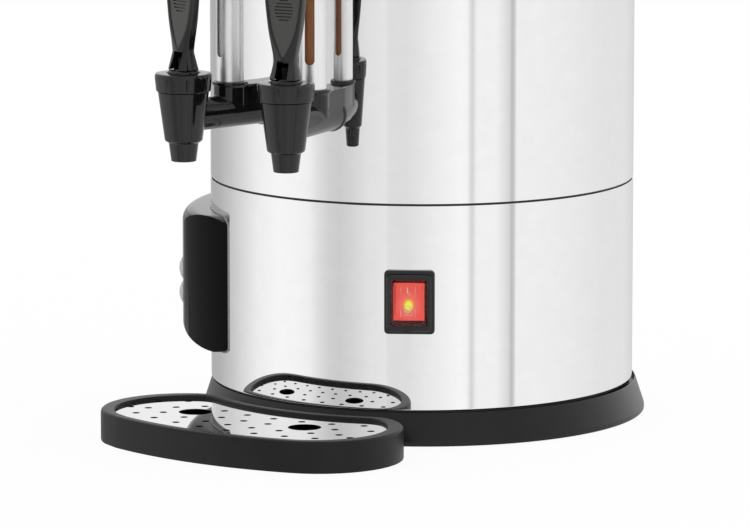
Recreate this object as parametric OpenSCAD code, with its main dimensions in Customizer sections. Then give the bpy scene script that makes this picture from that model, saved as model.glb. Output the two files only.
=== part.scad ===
// Twin-tank hot drinks urn on a round base: two taps with level gauges, an
// illuminated rocker switch, a side control panel and a loose drip tray.
// Front is -Y, up is +Z, and the origin is on the ground at the body's axis.
// Angles are counted from the front, positive towards +X, negative towards -X.

/* [Body] */
// Outer radius of the two steel shells
body_r = 131; // [129:0.5:133]
// Thickness of the steel sheet
skin = 0.8; // [0.6:0.1:1]
// Height of the plastic base ring
ring_top = 20; // [19:0.5:20.5]
// Radius of the base ring where it meets the ground
ring_r = 137.3; // [136:0.1:140]
// Height of the groove between the lower and the upper shell
seam_z = 146.3; // [145:0.1:148]
// Width of that groove
seam_w = 1.3; // [0.6:0.1:1.4]
// Height of the upper shell's top edge
shell_top = 466; // [460:1:480]
// Height of the deck over the electrical bay
deck_z = 150; // [149:0.5:152]

/* [Tanks] */
// Outer radius of the two half-round tanks
tank_r = 124.2; // [123:0.1:125]
// Underside of the tank floors
tank_floor_z = 187; // [186:0.5:188]
// Thickness of the tank sheet
tank_skin = 1; // [0.8:0.1:1.2]
// Half the gap between the flat backs of the tanks
tank_gap = 2; // [1:0.5:3]

/* [Taps] */
// Angle of each tap from the front
tap_angle = 11.6; // [11:0.1:13]
// Distance of the tap axis from the body axis
tap_r = 192; // [188:0.5:196]
// Height of the supply pipe's axis
pipe_z = 199.8; // [199.5:0.1:200.2]
// Radius of the supply pipe
pipe_r = 9.8; // [9.5:0.1:10]
// Height of the spout's mouth
spout_z = 172.7; // [170:0.1:175]
// Height of the joint between tap body and bonnet
bonnet_z = 215; // [214.5:0.1:215.5]
// Height of the lever's pin
pin_z = 233.2; // [233:0.1:233.4]
// Top of the lever
lever_top = 296; // [290:1:305]
// Full width of the lever's paddle
lever_w = 25; // [23:0.5:27]

/* [Level gauges] */
// Distance of the gauge axis from the body axis
gauge_r = 158; // [156:0.5:160]
// Top of the gauge socket, where the steel shield stands
gauge_foot_z = 217.8; // [217.5:0.1:218.2]
// Top of the steel shield
gauge_top_z = 440; // [430:1:445]
// Outer radius of the shield tube
shield_r = 8.3; // [8:0.1:8.6]
// Width of the shield's viewing slot
gauge_slot = 6; // [5:0.5:7]

/* [Drip tray] */
// Distance of the tray's edge next to the urn from the body axis
tray_in = 141; // [140.6:0.1:142]
// Distance of its outer edge from the body axis
tray_out = 231.4; // [229:0.1:233]
// Half angle between the centres of the tray's two outer corners
tray_half_angle = 16.6; // [15.5:0.1:17.5]
// Height of the tray
tray_h = 19.2; // [18.5:0.1:21]
// Width of the tray's rim
tray_rim = 6.3; // [6:0.1:7]
// Turn of the loose tray about the body axis
tray_turn = 0.2; // [-2:0.1:2]
// Top face of the perforated plate
grid_z = 17.2; // [16:0.1:17.4]

/* [Switch and controls] */
// Angle of the rocker switch from the front
switch_angle = 33.1; // [32:0.1:35]
// Height of the rocker switch's centre
switch_z = 87.6; // [86:0.1:90]
// Angle of the control housing's middle from the front
panel_angle = -57; // [-58:0.5:-56]
// Angle of the two buttons from the front
button_angle = -50; // [-52:0.5:-48]
// Height of the upper button
upper_button_z = 89; // [88:0.5:91]
// Height of the lower button
lower_button_z = 73.7; // [72:0.1:75]
// Height of the power inlet's centre
inlet_z = 62; // [58:1:66]

/* [Lid and carry handles] */
// Height of the top face of the collar that the lid rests on
collar_top = 483; // [480:1:500]
// Rise of the lid's dome above its flange
dome_rise = 18; // [15:1:22]
// Height of the carry handles
carry_z = 415; // [405:1:425]

/* [Hidden] */

$fn = 96;
hull_fn = 32;
LEFT = -1;
RIGHT = 1;
far = 400;

// Colours
steel = "#d9dadb";
dull_steel = "#b9bbbd";
black_gloss = "#1b1b1d";
black_matte = "#26272a";
silicone = "#e6e1d6";
brass = "#c9a24a";

// Play between faces of one body that only touch
play = 0.05;

// Base
foot_h = 2.4;
foot_r = [127.5, 133.5];
ring_z = 0.3;
ring_shift = [1.05, 0.77, 0];
ledge_z = [15, 20.8];
ledge_r = 116;
base_plate_z = [13.8, 15];
base_plate_r = 127.5;
base_screw_r = 121;
base_screw_angles = [45, 135, 225, 315];

// Shells
lower_top = seam_z - seam_w / 2;
upper_bottom = seam_z + seam_w / 2;
shell_in = body_r - skin;
tank_in = tank_r - tank_skin;
tank_flange = 1;

// Supply pipe through the wall
shank_r = 8;
bore_r = 6;
shank_end = 112;
flange_r = 10.6;
flange_end = 132.6;
nut_r = 13.2;
nut_y = [116, 121];

// Tap
seat_z = 188;
chamber_r = 10;
neck_r = 13;
neck_top = 221.5;
spigot_r = 7;
bonnet_top = 225.7;
bonnet_roof = 221.6;
collar_z = 228.2;
skirt_z = 228.6;
skirt_r = 9.5;
lever_slot = 8;
pin_r = 1.5;
stem_r = 3.5;
stem_hole_r = 3.58;
cup_top = 210;
lever_thick = 6;

// Gauge
glass_r = 6.8;
glass_in = 5.6;
glass_z = [206, 446];
lip_r = 10.8;
socket_r = 9.8;
seal_r = 8.4;
seal_h = 2.4;
seal_z = [gauge_foot_z - 6, gauge_top_z + 2];
slot_foot = 15;
slot_head = 14;
slot_facing = [6, 14];

// Drip tray
tray_corner = [50, 22];
tray_end_rim = 1.1;

// Switch
bezel_size = [30.4, 38];
window_size = [21.4, 27.5];
bezel_front = body_r + 5;
rocker_pivot_y = body_r - 5;
rocker_tilt = -8;
rocker_half = 11.5;

// Control housing
panel_r = 148.5;
panel_z = [42.5, 129.5];
panel_half_w = 65;
panel_corner = 14;
panel_wall = 2.2;
button_r = 6.4;
button_z = [upper_button_z, lower_button_z];
board_y = [136, 137.6];

// Lid
lid_r = 128;
lid_skirt = [115, 116.4];
dome_r = 119.5;
dome_sphere = (dome_r * dome_r + dome_rise * dome_rise) / (2 * dome_rise);
lid_flange_z = collar_top + 0.3;
dome_top = lid_flange_z + dome_rise;

// Carry handles
carry_r = 168;
carry_half_angle = 20;
carry_thick = 9;

// ---------------------------------------------------------------- helpers

// Turns what is drawn on the front centre line to an angle from the front
module facing(angle) {
    rotate([0, 0, angle]) children();
}

// Round rod along the outward direction, between two distances from the body axis
module radial_rod(r, from, to, z) {
    translate([0, -from, z]) rotate([90, 0, 0]) cylinder(r = r, h = to - from);
}

// Upright ring between two radii and two heights
module ring(r_in, r_out, z0, z1) {
    rotate_extrude() translate([r_in, z0]) square([r_out - r_in, z1 - z0]);
}

// Flat rectangle with round corners
module round_rect(size, r) {
    square([size[0] - 2 * r, size[1]], center = true);
    square([size[0], size[1] - 2 * r], center = true);
    for (x = [-1, 1], z = [-1, 1])
        translate([x * (size[0] / 2 - r), z * (size[1] / 2 - r)]) circle(r);
}

// Flat outline stood up to face outward, between two distances from the body axis
module radial_slab(from, to, z) {
    translate([0, -from, z]) rotate([90, 0, 0]) linear_extrude(height = to - from) children();
}

// Solid that fills the body's round outside, for pieces that fit against it
module body_core(r = body_r + play) {
    cylinder(r = r, h = far * 3, center = true, $fn = 360);
}

// Half disc that starts at x = gap
module half_disc(r, gap) {
    intersection() {
        circle(r);
        translate([gap, -r]) square([r, 2 * r]);
    }
}

// Points of an arc in steps that stay exact when they are revolved
function arc(centre, r, from, to, steps = 6) =
    [for (i = [0 : steps]) let (a = from + (to - from) * i / steps)
        [centre[0] + r * cos(a), centre[1] + r * sin(a)]];

// Direction of a path at one of its points
function heading(path, i) =
    let (step = path[min(i + 1, len(path) - 1)] - path[max(i - 1, 0)]) step / norm(step);

// Round tube swept along a path; up is a direction that the path never follows
module tube(path, r, up) {
    sides = 8;
    last = len(path) - 1;
    rings = [for (i = [0 : last])
        let (t = heading(path, i), across = cross(up, t), u = across / norm(across), v = cross(t, u))
        for (s = [0 : sides - 1]) let (a = 360 * s / sides) path[i] + r * (cos(a) * u + sin(a) * v)];
    walls = [for (i = [0 : last - 1], s = [0 : sides - 1]) let (n = (s + 1) % sides)
        [i * sides + s, (i + 1) * sides + s, (i + 1) * sides + n, i * sides + n]];
    first_cap = [for (s = [0 : sides - 1]) s];
    last_cap = [for (s = [sides - 1 : -1 : 0]) last * sides + s];
    polyhedron(rings, concat([first_cap], walls, [last_cap]));
}

// Pan-head screw with its head's seat at the origin and its shank along +Z
module screw(r, h, head_r, head_h) {
    cylinder(r = r, h = h);
    translate([0, 0, -head_h]) cylinder(r = head_r, h = head_h);
}

// ---------------------------------------------------------------- base

module foot_ring() {
    color("#1e1e1e") ring(foot_r[0], foot_r[1], 0, foot_h);
}

// Foot moulding: its skirt sits a little off the body's axis, behind a shadow gap
module base_ring() {
    lip_in = body_r + 0.2;
    color(black_matte) difference() {
        union() {
            translate(ring_shift) rotate_extrude() polygon([
                [126, ring_z], [ring_r - 0.7, ring_z], [ring_r, ring_z + 0.8],
                [ring_r, ring_z + 2.3], [lip_in + 0.8, ring_top - 0.6],
                [lip_in + 0.5, ring_top], [lip_in, ring_top], [lip_in, 17], [126, 17]
            ]);
            ring(ledge_r, body_r - 1.8, ledge_z[0], ledge_z[1]);
        }
        ring(foot_r[0] - 0.1, foot_r[1] + 0.1, -1, foot_h);
        rotate_extrude() polygon([
            [0, -1], [foot_r[0] - 1.2, -1], [foot_r[0] - 1.2, 0.6], [base_plate_r + 0.8, 4],
            [base_plate_r + 1.5, ledge_z[0]], [0, ledge_z[0]]
        ]);
        for (a = base_screw_angles) facing(a)
            translate([0, -base_screw_r, ledge_z[0] - 1]) cylinder(r = 2.1, h = 8);
    }
}

module bottom_plate() {
    vent_count = 12;
    color(dull_steel) difference() {
        translate([0, 0, base_plate_z[0]])
            cylinder(r = base_plate_r, h = base_plate_z[1] - base_plate_z[0]);
        for (a = base_screw_angles) facing(a)
            translate([0, -base_screw_r, base_plate_z[0] - 1]) cylinder(r = 2.1, h = 4);
        for (i = [0 : vent_count - 1]) rotate([0, 0, i * 360 / vent_count + 15])
            translate([70, -2, base_plate_z[0] - 1]) cube([28, 4, 4]);
    }
}

module base_screws() {
    color(dull_steel) for (a = base_screw_angles) facing(a)
        translate([0, -base_screw_r, base_plate_z[0]]) screw(2, 8.8, 4, 2.2);
}

// ---------------------------------------------------------------- shells

module lower_shell() {
    color(steel) difference() {
        union() {
            ring(shell_in, body_r, ledge_z[1], lower_top);
            ring(ledge_r, body_r - 0.1, ledge_z[1], ledge_z[1] + skin);
        }
        facing(switch_angle) radial_slab(shell_in - 6, body_r + 6, switch_z)
            round_rect([22.4, 28.4], 2);
        facing(180) radial_slab(shell_in - 6, body_r + 6, inlet_z) round_rect([29, 21.4], 3);
        facing(180) for (x = [-1, 1]) translate([x * 20, 0, 0])
            radial_rod(1.8, shell_in - 6, body_r + 6, inlet_z);
        for (a = panel_screw_angles) facing(a)
            radial_rod(1.8, shell_in - 6, body_r + 6, panel_screw_z);
        facing(button_angle) radial_rod(6, shell_in - 6, body_r + 6, 81);
        for (a = base_screw_angles) facing(a)
            translate([0, -base_screw_r, ledge_z[1] - 1]) cylinder(r = 2.05, h = 3);
    }
}

module deck_plate() {
    rim_out = shell_in - 0.4;
    color("#3b3a38") difference() {
        union() {
            translate([0, 0, deck_z]) cylinder(r = rim_out, h = 1.2);
            ring(rim_out - 1, rim_out, seam_z - 10, deck_z + 1);
        }
        for (x = [-1, 1]) translate([x * 40, 45, deck_z - 1]) cylinder(r = 8, h = 4);
    }
}

module upper_shell() {
    color(steel) difference() {
        ring(shell_in, body_r, upper_bottom, shell_top);
        for (side = [LEFT, RIGHT]) facing(side * tap_angle)
            radial_rod(shank_r + 0.3, shell_in - 6, body_r + 6, pipe_z);
        for (side = [LEFT, RIGHT], a = [-1, 1]) facing(side * 90 + a * carry_half_angle)
            radial_rod(2.6, shell_in - 6, body_r + 6, carry_z);
    }
}

module top_collar() {
    z0 = shell_top + tank_flange + play;
    color(steel) rotate_extrude() polygon([
        [117.5, z0], [body_r, z0], [body_r + 0.8, z0 + 1], [body_r + 0.8, collar_top - 6],
        [body_r - 0.4, collar_top - 2.4], [body_r - 2.6, collar_top - 0.6],
        [body_r - 5, collar_top], [117.5, collar_top]
    ]);
}

// ---------------------------------------------------------------- tanks

// Half-round tank on the +X side
module tank() {
    difference() {
        union() {
            translate([0, 0, tank_floor_z]) linear_extrude(height = shell_top - tank_floor_z + 0.5)
                half_disc(tank_r, tank_gap);
            translate([0, 0, shell_top]) linear_extrude(height = tank_flange)
                half_disc(body_r - 0.4, 0.5);
        }
        translate([0, 0, tank_floor_z + 1.2]) linear_extrude(height = far)
            half_disc(tank_in, tank_gap + tank_skin);
        facing(tap_angle) radial_rod(shank_r + 0.3, 100, 140, pipe_z);
    }
}

module left_tank() {
    color(dull_steel) mirror([1, 0, 0]) tank();
}

module right_tank() {
    color(dull_steel) tank();
}

module insulation() {
    color("#e3dcc6") difference() {
        ring(tank_r + 0.4, shell_in - 0.6, 192, 392);
        for (side = [LEFT, RIGHT]) facing(side * tap_angle) radial_rod(13, 100, 140, pipe_z);
    }
}

// Tubular element brazed under a spreader plate, one per tank
module heaters() {
    element_r = 80;
    element_z = 182;
    sweep = 150;
    color("#8d8b86") for (side = [LEFT, RIGHT]) rotate([0, 0, side > 0 ? 0 : 180]) {
        translate([0, 0, tank_floor_z - 2.1]) linear_extrude(height = 2) half_disc(108, 10);
        translate([0, 0, element_z]) rotate([0, 0, -sweep / 2])
            rotate_extrude(angle = sweep) translate([element_r, 0]) circle(3.3);
        for (a = [-1, 1]) rotate([0, 0, a * sweep / 2]) translate([element_r, 0, element_z]) {
            translate([0, 0, -18]) cylinder(r = 3.6, h = 22);
            translate([-0.4, -3, -26]) cube([0.8, 6, 9]);
        }
    }
}

// Disc thermostat body with two blade terminals, its sensing face up at z = 0
module disc_stat(r, h) {
    translate([0, 0, -h]) cylinder(r = r, h = h);
    for (x = [-1, 1]) translate([x * r / 2 - 0.4, -3, -h - 8]) cube([0.8, 6, 8.5]);
}

module thermostats() {
    color("#3b3a38") for (side = [LEFT, RIGHT])
        translate([side * 45, 28, tank_floor_z - 2.1 - play]) disc_stat(9, 12);
}

module thermal_cutouts() {
    color("#c7c3ba") for (side = [LEFT, RIGHT])
        translate([side * 45, -28, tank_floor_z - 2.1 - play]) disc_stat(7.5, 9);
}

// ---------------------------------------------------------------- electrics

module terminal_block() {
    ways = 5;
    pitch = 9;
    color("#e8e4da") translate([-ways * pitch / 2, 62, base_plate_z[1]]) {
        cube([ways * pitch, 20, 10]);
        for (i = [0 : ways]) translate([i * pitch - 0.8, 0, 9]) cube([1.6, 20, 6]);
    }
}

module control_board() {
    board = [84, 56, 1.6];
    board_z = base_plate_z[1] + 8;
    color("#2f6b45") translate([-42, -48, board_z]) {
        cube(board);
        for (x = [5, 79], y = [5, 51]) translate([x, y, -8]) cylinder(r = 3, h = 8.5);
        translate([8, 14, 1]) cube([30, 26, 24]);
        for (x = [46, 64]) translate([x, 10, 1]) cube([14, 20, 16]);
        translate([46, 38, 1]) cube([30, 9, 9]);
    }
}

// Harness: inlet to terminals, terminals to switch, board, buttons and heaters
module wiring() {
    runs = [
        [[0, 103, 62], [0, 92, 60], [0, 90, 36], [0, 83, 26]],
        [[10, 61, 22], [40, 45, 24], [62, -20, 40], [58, -60, 70], [57, -82, 88]],
        [[-10, 61, 22], [-10, 30, 22], [15, 12, 28], [15, 0, 27.5]],
        [[-44, -20, 30], [-60, -40, 50], [-80, -68, 81], [-102, -85.6, 81]],
        [[20, 61, 24], [40, 50, 60], [40, 45, 140], [40, 45, 158], [30, 70, 165]],
        [[-20, 61, 24], [-40, 50, 60], [-40, 45, 140], [-40, 45, 158], [-30, 70, 165]]
    ];
    color("#b3412c") for (run = runs) tube(run, 1.8, [1, 0.2, 0]);
}

// ---------------------------------------------------------------- rocker switch

module switch_bezel() {
    color(black_gloss) facing(switch_angle) difference() {
        union() {
            radial_slab(body_r - 3, bezel_front, switch_z) round_rect(bezel_size, 3);
            radial_slab(body_r, bezel_front + 1.2, switch_z)
                round_rect([bezel_size[0] - 4, bezel_size[1] - 4], 3);
        }
        body_core();
        radial_slab(body_r - 6, bezel_front + 6, switch_z) round_rect(window_size, 1.5);
    }
}

module switch_hood() {
    front = bezel_front + 3.4;
    color("#f2d6d2") facing(switch_angle) difference() {
        radial_slab(body_r + 0.6, front, switch_z)
            round_rect([window_size[0] - 0.2, window_size[1] - 0.2], 1.4);
        radial_slab(body_r - 1, front - 0.8, switch_z)
            round_rect([window_size[0] - 1.8, window_size[1] - 1.8], 0.8);
    }
}

module switch_body() {
    back = body_r - 24;
    color("#2b2b2d") facing(switch_angle) {
        difference() {
            radial_slab(back, body_r - 0.6, switch_z) round_rect([22, 28], 1.5);
            radial_slab(rocker_pivot_y - 7, body_r + 4, switch_z)
                square([19.6, 26.4], center = true);
            translate([0, -rocker_pivot_y, switch_z]) rotate([0, 90, 0])
                cylinder(r = 1.56, h = 21.2, center = true);
        }
        for (z = [-8, 0, 8]) translate([-2.4, -back - 0.4, switch_z + z - 0.4])
            cube([4.8, 8.4, 0.8]);
    }
}

// Drawn in its ON position, tilted about its cross pin
module switch_rocker() {
    color("#e2382c") facing(switch_angle) translate([0, -rocker_pivot_y, switch_z])
        rotate([rocker_tilt, 0, 0]) rotate([90, 0, 90]) {
            translate([0, 0, -9.3]) linear_extrude(height = 18.6) polygon([
                [4, -4], [-4, -rocker_half], [-9, -rocker_half], [-7.8, 0], [-9, rocker_half],
                [-4, rocker_half], [4, 4]
            ]);
            cylinder(r = 1.5, h = 20.6, center = true);
        }
}

// ---------------------------------------------------------------- power inlet

module power_inlet() {
    back = body_r - 22;
    front = body_r + 3.6;
    color(black_matte) facing(180) {
        difference() {
            union() {
                difference() {
                    radial_slab(body_r - 4, front, inlet_z) round_rect([48, 28], 4);
                    body_core();
                }
                radial_slab(back, front, inlet_z) round_rect([28.4, 20.8], 2.5);
            }
            radial_slab(front - 17, front + 1, inlet_z) round_rect([24, 16.4], 2);
            for (x = [-1, 1]) translate([x * 20, 0, 0])
                radial_rod(1.85, body_r - 6, front + 1, inlet_z);
        }
        for (pin = [[-7, -2], [0, 2], [7, -2]])
            translate([pin[0] - 1, -front + 4, inlet_z + pin[1] - 2])
                cube([2, front - back + 2, 4]);
    }
}

// Identical screws: two hold the inlet, two hold the control housing from inside
module panel_screws() {
    color(dull_steel) {
        facing(180) for (x = [-1, 1]) translate([x * 20, -body_r - 3.6 - play, inlet_z])
            rotate([-90, 0, 0]) screw(1.75, 9, 3.2, 1.6);
        for (a = panel_screw_angles) facing(a) translate([0, -shell_in + 0.3, panel_screw_z])
            rotate([90, 0, 0]) screw(1.75, 9, 3.2, 1.6);
    }
}

// ---------------------------------------------------------------- control housing

// Angles and height of the housing's two screws
panel_screw_angles = [-46, -68];
panel_screw_z = 52;

// Plan of the housing: its two ends ramp up from the wall to a blunted crest
module panel_plan(margin) {
    translate([0, margin * 1.39]) polygon([
        [-80, -98.1], [-38, -138.5], [-30.5, -144.3], [-20, -149], [0, -154],
        [20, -149], [30.5, -144.3], [38, -138.5], [80, -98.1]
    ]);
}

// Housing block, smaller all round by a margin
module panel_block(margin) {
    fillet_top = 8;
    fillet_foot = 13;
    r = panel_r - margin;
    z0 = panel_z[0] + margin;
    z1 = panel_z[1] - margin;
    half = panel_half_w - margin;
    intersection() {
        rotate_extrude() polygon(concat(
            [[100, z1], [100, z0]],
            arc([r - fillet_foot, z0 + fillet_foot], fillet_foot, -90, 0),
            arc([r - fillet_top, z1 - fillet_top], fillet_top, 0, 90)
        ));
        radial_slab(50, panel_r + 5, (z0 + z1) / 2)
            round_rect([2 * half, z1 - z0], panel_corner);
        translate([0, 0, z0 - 1]) linear_extrude(height = z1 - z0 + 2)
            panel_plan(margin);
    }
}

module control_housing() {
    color(black_gloss) difference() {
        union() {
            facing(panel_angle) difference() {
                panel_block(0);
                panel_block(panel_wall);
            }
            for (a = panel_screw_angles) facing(a)
                radial_rod(4, body_r - 1, panel_r - 3, panel_screw_z);
            facing(button_angle) for (z = [63.6, 99])
                radial_rod(2.2, board_y[1], panel_r - 1, z);
        }
        body_core();
        facing(button_angle) for (z = button_z)
            radial_rod(button_r + 0.2, panel_r - 7, panel_r + 6, z);
        for (a = panel_screw_angles) facing(a)
            radial_rod(1.8, body_r - 2, body_r + 9, panel_screw_z);
    }
}

module button_board() {
    color("#2f6b45") facing(button_angle) {
        radial_slab(board_y[0], board_y[1] - play, 81) square([22, 42], center = true);
        for (z = button_z) radial_slab(board_y[1] - 0.2, 140.1, z) square(6, center = true);
    }
}

// Domed cap with a retaining flange and a stem that reaches the board's switch
module button(z) {
    color("#c9cbcd") facing(button_angle) {
        radial_rod(button_r, panel_r - 4, panel_r + 0.2, z);
        radial_rod(button_r + 0.9, panel_r - 4.8, panel_r - 3.6, z);
        radial_rod(2.2, 141.9, panel_r - 4, z);
        intersection() {
            radial_rod(button_r, panel_r - 1, panel_r + 3, z);
            translate([0, -panel_r - 2.2 + 12, z]) sphere(12);
        }
    }
}

module upper_button() {
    button(upper_button_z);
}

module lower_button() {
    button(lower_button_z);
}

// ---------------------------------------------------------------- drip tray

// Kidney outline, smaller all round by an inset. Its ends are also turned inward by an
// angle. Each end is one big outer corner that runs smoothly into a small inner one.
module tray_outline(inset, turned_in = 0) {
    outer_r = tray_out - tray_corner[0];
    inner_r = tray_in + tray_corner[1];
    apart = tray_corner[0] - tray_corner[1];
    a = tray_half_angle - turned_in;
    b = a + acos((outer_r * outer_r + inner_r * inner_r - apart * apart) / (2 * outer_r * inner_r));
    outer_centre = [outer_r * sin(a), -outer_r * cos(a)];
    inner_centre = [inner_r * sin(b), -inner_r * cos(b)];
    to_join = (inner_centre - outer_centre) / apart;
    to_edge = -inner_centre / inner_r;
    intersection() {
        difference() {
            circle(tray_out - inset);
            circle(tray_in + inset);
        }
        polygon([[0, 0], [-far * sin(a), -far * cos(a)], [far * sin(a), -far * cos(a)]]);
    }
    for (side = [0, 1]) mirror([side, 0]) {
        difference() {
            translate(outer_centre) circle(tray_corner[0] - inset);
            circle(tray_in + inset);
            polygon([
                inner_centre, inner_centre + far * to_join,
                inner_centre + far * (to_join + to_edge), inner_centre + far * to_edge
            ]);
        }
        translate(inner_centre) circle(tray_corner[1] - inset);
    }
}

module drip_tray() {
    rim_round = 2;
    rim_steps = 4;
    color(black_matte) rotate([0, 0, tray_turn]) difference() {
        union() {
            linear_extrude(height = tray_h - rim_round) tray_outline(0);
            for (i = [1 : rim_steps]) {
                rise = rim_round * sin(i * 90 / rim_steps);
                inset = rim_round * (1 - cos((i - 0.5) * 90 / rim_steps));
                linear_extrude(height = tray_h - rim_round + rise) tray_outline(inset);
            }
        }
        translate([0, 0, 2.2]) linear_extrude(height = far)
            tray_outline(tray_rim + 3, tray_end_rim);
        translate([0, 0, grid_z - 1.1]) linear_extrude(height = far)
            tray_outline(tray_rim, tray_end_rim);
    }
}

module drip_grid() {
    finger_hole = 10;
    finger_at = [178, 13.6];
    small_hole = 2.35;
    pattern_turn = -0.6;
    // Each row: its radius and its holes' angles to one side
    rows = [
        [162.6, [3.55, 10.5, 17.4, 24.5]],
        [178.6, [0, 5.7, 19.9, 27]],
        [194, [0, 5.2, 10.8, 16.9, 22.1]],
        [208.6, [2.8, 8.2, 13.8, 19.1]],
        [201.5, [24.6]]
    ];
    color(steel) rotate([0, 0, tray_turn]) translate([0, 0, grid_z - 1]) difference() {
        linear_extrude(height = 1) tray_outline(tray_rim + 0.35, tray_end_rim);
        rotate([0, 0, pattern_turn]) {
            for (side = [-1, 1]) rotate([0, 0, side * finger_at[1]])
                translate([0, -finger_at[0], -1]) cylinder(r = finger_hole, h = 3);
            for (row = rows, a = row[1], side = a == 0 ? [1] : [-1, 1]) rotate([0, 0, side * a])
                translate([0, -row[0], -1]) cylinder(r = small_hole, h = 3);
        }
    }
}

// ---------------------------------------------------------------- lid

module lid() {
    sphere_z = dome_top - dome_sphere;
    color(steel) difference() {
        union() {
            intersection() {
                translate([0, 0, sphere_z]) difference() {
                    sphere(dome_sphere, $fn = 300);
                    sphere(dome_sphere - 1, $fn = 300);
                }
                translate([0, 0, lid_flange_z]) cylinder(r = dome_r, h = far / 4);
            }
            ring(dome_r - 3, lid_r, lid_flange_z, lid_flange_z + 1.2);
            ring(lid_skirt[0], lid_skirt[1], collar_top - 11, lid_flange_z + 0.6);
        }
        translate([0, 0, dome_top - 5]) cylinder(r = 2.6, h = 10);
    }
}

module lid_seal() {
    color(silicone) ring(lid_skirt[1] + play, 117.3, collar_top - 9, collar_top - 3);
}

module lid_knob() {
    base = dome_top + 0.05;
    color(black_gloss) difference() {
        rotate_extrude() polygon([
            [0, base], [13, base], [13, base + 2], [9.5, base + 6], [9, base + 11],
            [12, base + 15], [18, base + 18], [20, base + 21], [19.2, base + 25],
            [15, base + 28], [8, base + 29.6], [0, base + 30]
        ]);
        translate([0, 0, base - 1]) cylinder(r = 2.55, h = 17);
    }
}

module knob_screw() {
    color(dull_steel) translate([0, 0, dome_top - 1.2]) screw(2.5, 15, 5, 2.4);
}

// ---------------------------------------------------------------- carry handles

// Curved grip on two legs with pads that fit the round wall
module carry_handle(side) {
    pad_r = 14;
    leg_r = 7.5;
    overhang = 4;
    color(black_gloss) facing(side * 90) difference() {
        union() {
            translate([0, 0, carry_z]) rotate([0, 0, -90 - carry_half_angle - overhang])
                rotate_extrude(angle = 2 * (carry_half_angle + overhang))
                    translate([carry_r, 0]) circle(carry_thick);
            for (a = [-1, 1]) facing(a * carry_half_angle) {
                radial_rod(leg_r, body_r - 2, carry_r, carry_z);
                radial_rod(pad_r, body_r - 4, body_r + 4, carry_z);
            }
        }
        body_core();
        for (a = [-1, 1]) facing(a * carry_half_angle)
            radial_rod(2.55, body_r - 4, body_r + 15, carry_z);
    }
}

module left_carry_handle() {
    carry_handle(LEFT);
}

module right_carry_handle() {
    carry_handle(RIGHT);
}

module handle_screws() {
    color(dull_steel) for (side = [LEFT, RIGHT], a = [-1, 1])
        facing(side * 90 + a * carry_half_angle) translate([0, -shell_in + 0.5, carry_z])
            rotate([90, 0, 0]) screw(2.5, 14, 5, 2.4);
}

// ---------------------------------------------------------------- taps

// Places a piece drawn on the tap axis
module at_tap(side) {
    facing(side * tap_angle) translate([0, -tap_r, 0]) children();
}

// Outside of the tap body, without its chamber
module tap_outside() {
    rotate_extrude() polygon([
        [0, spout_z], [7.2, spout_z], [7.75, spout_z + 0.5], [8.95, spout_z + 11],
        [9.6, spout_z + 11.5], [10.9, spout_z + 12.4], [11.5, spout_z + 14],
        [15.3, bonnet_z - 0.6], [15, bonnet_z - 0.1], [neck_r, bonnet_z - 0.1],
        [neck_r, neck_top], [0, neck_top]
    ]);
}

module tap_body(side) {
    color(black_gloss) at_tap(side) difference() {
        tap_outside();
        translate([0, 0, spout_z - 1]) cylinder(r = bore_r, h = seat_z - spout_z + 2);
        translate([0, 0, seat_z]) cylinder(r = chamber_r, h = 50);
        translate([0, 0, pipe_z]) rotate([-90, 0, 0]) cylinder(r = spigot_r + play, h = 20);
    }
}

module tap_bonnet(side) {
    groove_count = 8;
    groove_turn = side == LEFT ? 14 : 9;
    color(black_gloss) at_tap(side) difference() {
        rotate_extrude() polygon([
            [neck_r + play, bonnet_z], [16.3, bonnet_z], [17.2, bonnet_top - 2],
            [16.6, bonnet_top - 0.4], [15.8, bonnet_top], [10.4, bonnet_top + 0.2],
            [10, bonnet_top - 0.8], [9.2, bonnet_top - 0.8], [9.2, collar_z - 1.1],
            [8.8, collar_z - 0.8], [6, collar_z - 0.8], [5.8, collar_z],
            [stem_hole_r, collar_z], [stem_hole_r, bonnet_roof], [neck_r + play, bonnet_roof]
        ]);
        for (i = [0 : groove_count - 1]) rotate([0, 0, i * 360 / groove_count - 90 + groove_turn])
            translate([17.4, 0, bonnet_z - 1]) cylinder(r = 1.2, h = 9.4);
    }
}

// Bar with round edges for the lever's hulls
module lever_bar(w, t, z, y = 0) {
    for (x = [-1, 1]) translate([x * (w - t) / 2, y, z])
        cylinder(r = t / 2, h = 0.5, $fn = hull_fn);
}

module tap_lever(side) {
    neck = [12.8, 9.6];
    neck_z = pin_z + 7;
    color(black_gloss) at_tap(side) difference() {
        union() {
            hull() {
                translate([0, 0, skirt_z]) cylinder(r = skirt_r, h = 0.8, $fn = hull_fn);
                lever_bar(neck[0], neck[1], neck_z);
            }
            hull() {
                lever_bar(neck[0], neck[1], neck_z);
                lever_bar(lever_w - 2, lever_thick, 272);
            }
            hull() {
                lever_bar(lever_w - 2, lever_thick, 272);
                lever_bar(lever_w, lever_thick, lever_top - 8);
                lever_bar(lever_w - 9, lever_thick - 1.5, lever_top - 0.5);
            }
        }
        translate([-lever_slot / 2, -20, skirt_z - 1])
            cube([lever_slot, 20 + stem_r + 0.4, pin_z - skirt_z + 1]);
        translate([0, 0, pin_z]) rotate([0, 90, 0])
            cylinder(r = stem_r + 0.6, h = lever_slot, center = true);
        translate([-lever_slot / 2, -20, skirt_z - 1])
            cube([lever_slot, 20, neck_z - skirt_z + 1]);
        translate([0, 0, pin_z]) rotate([0, 90, 0]) cylinder(r = pin_r + 0.05, h = 30, center = true);
    }
}

module lever_pin(side) {
    color(steel) at_tap(side) translate([0, 0, pin_z]) rotate([0, 90, 0])
        cylinder(r = pin_r, h = 15.6, center = true);
}

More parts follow.
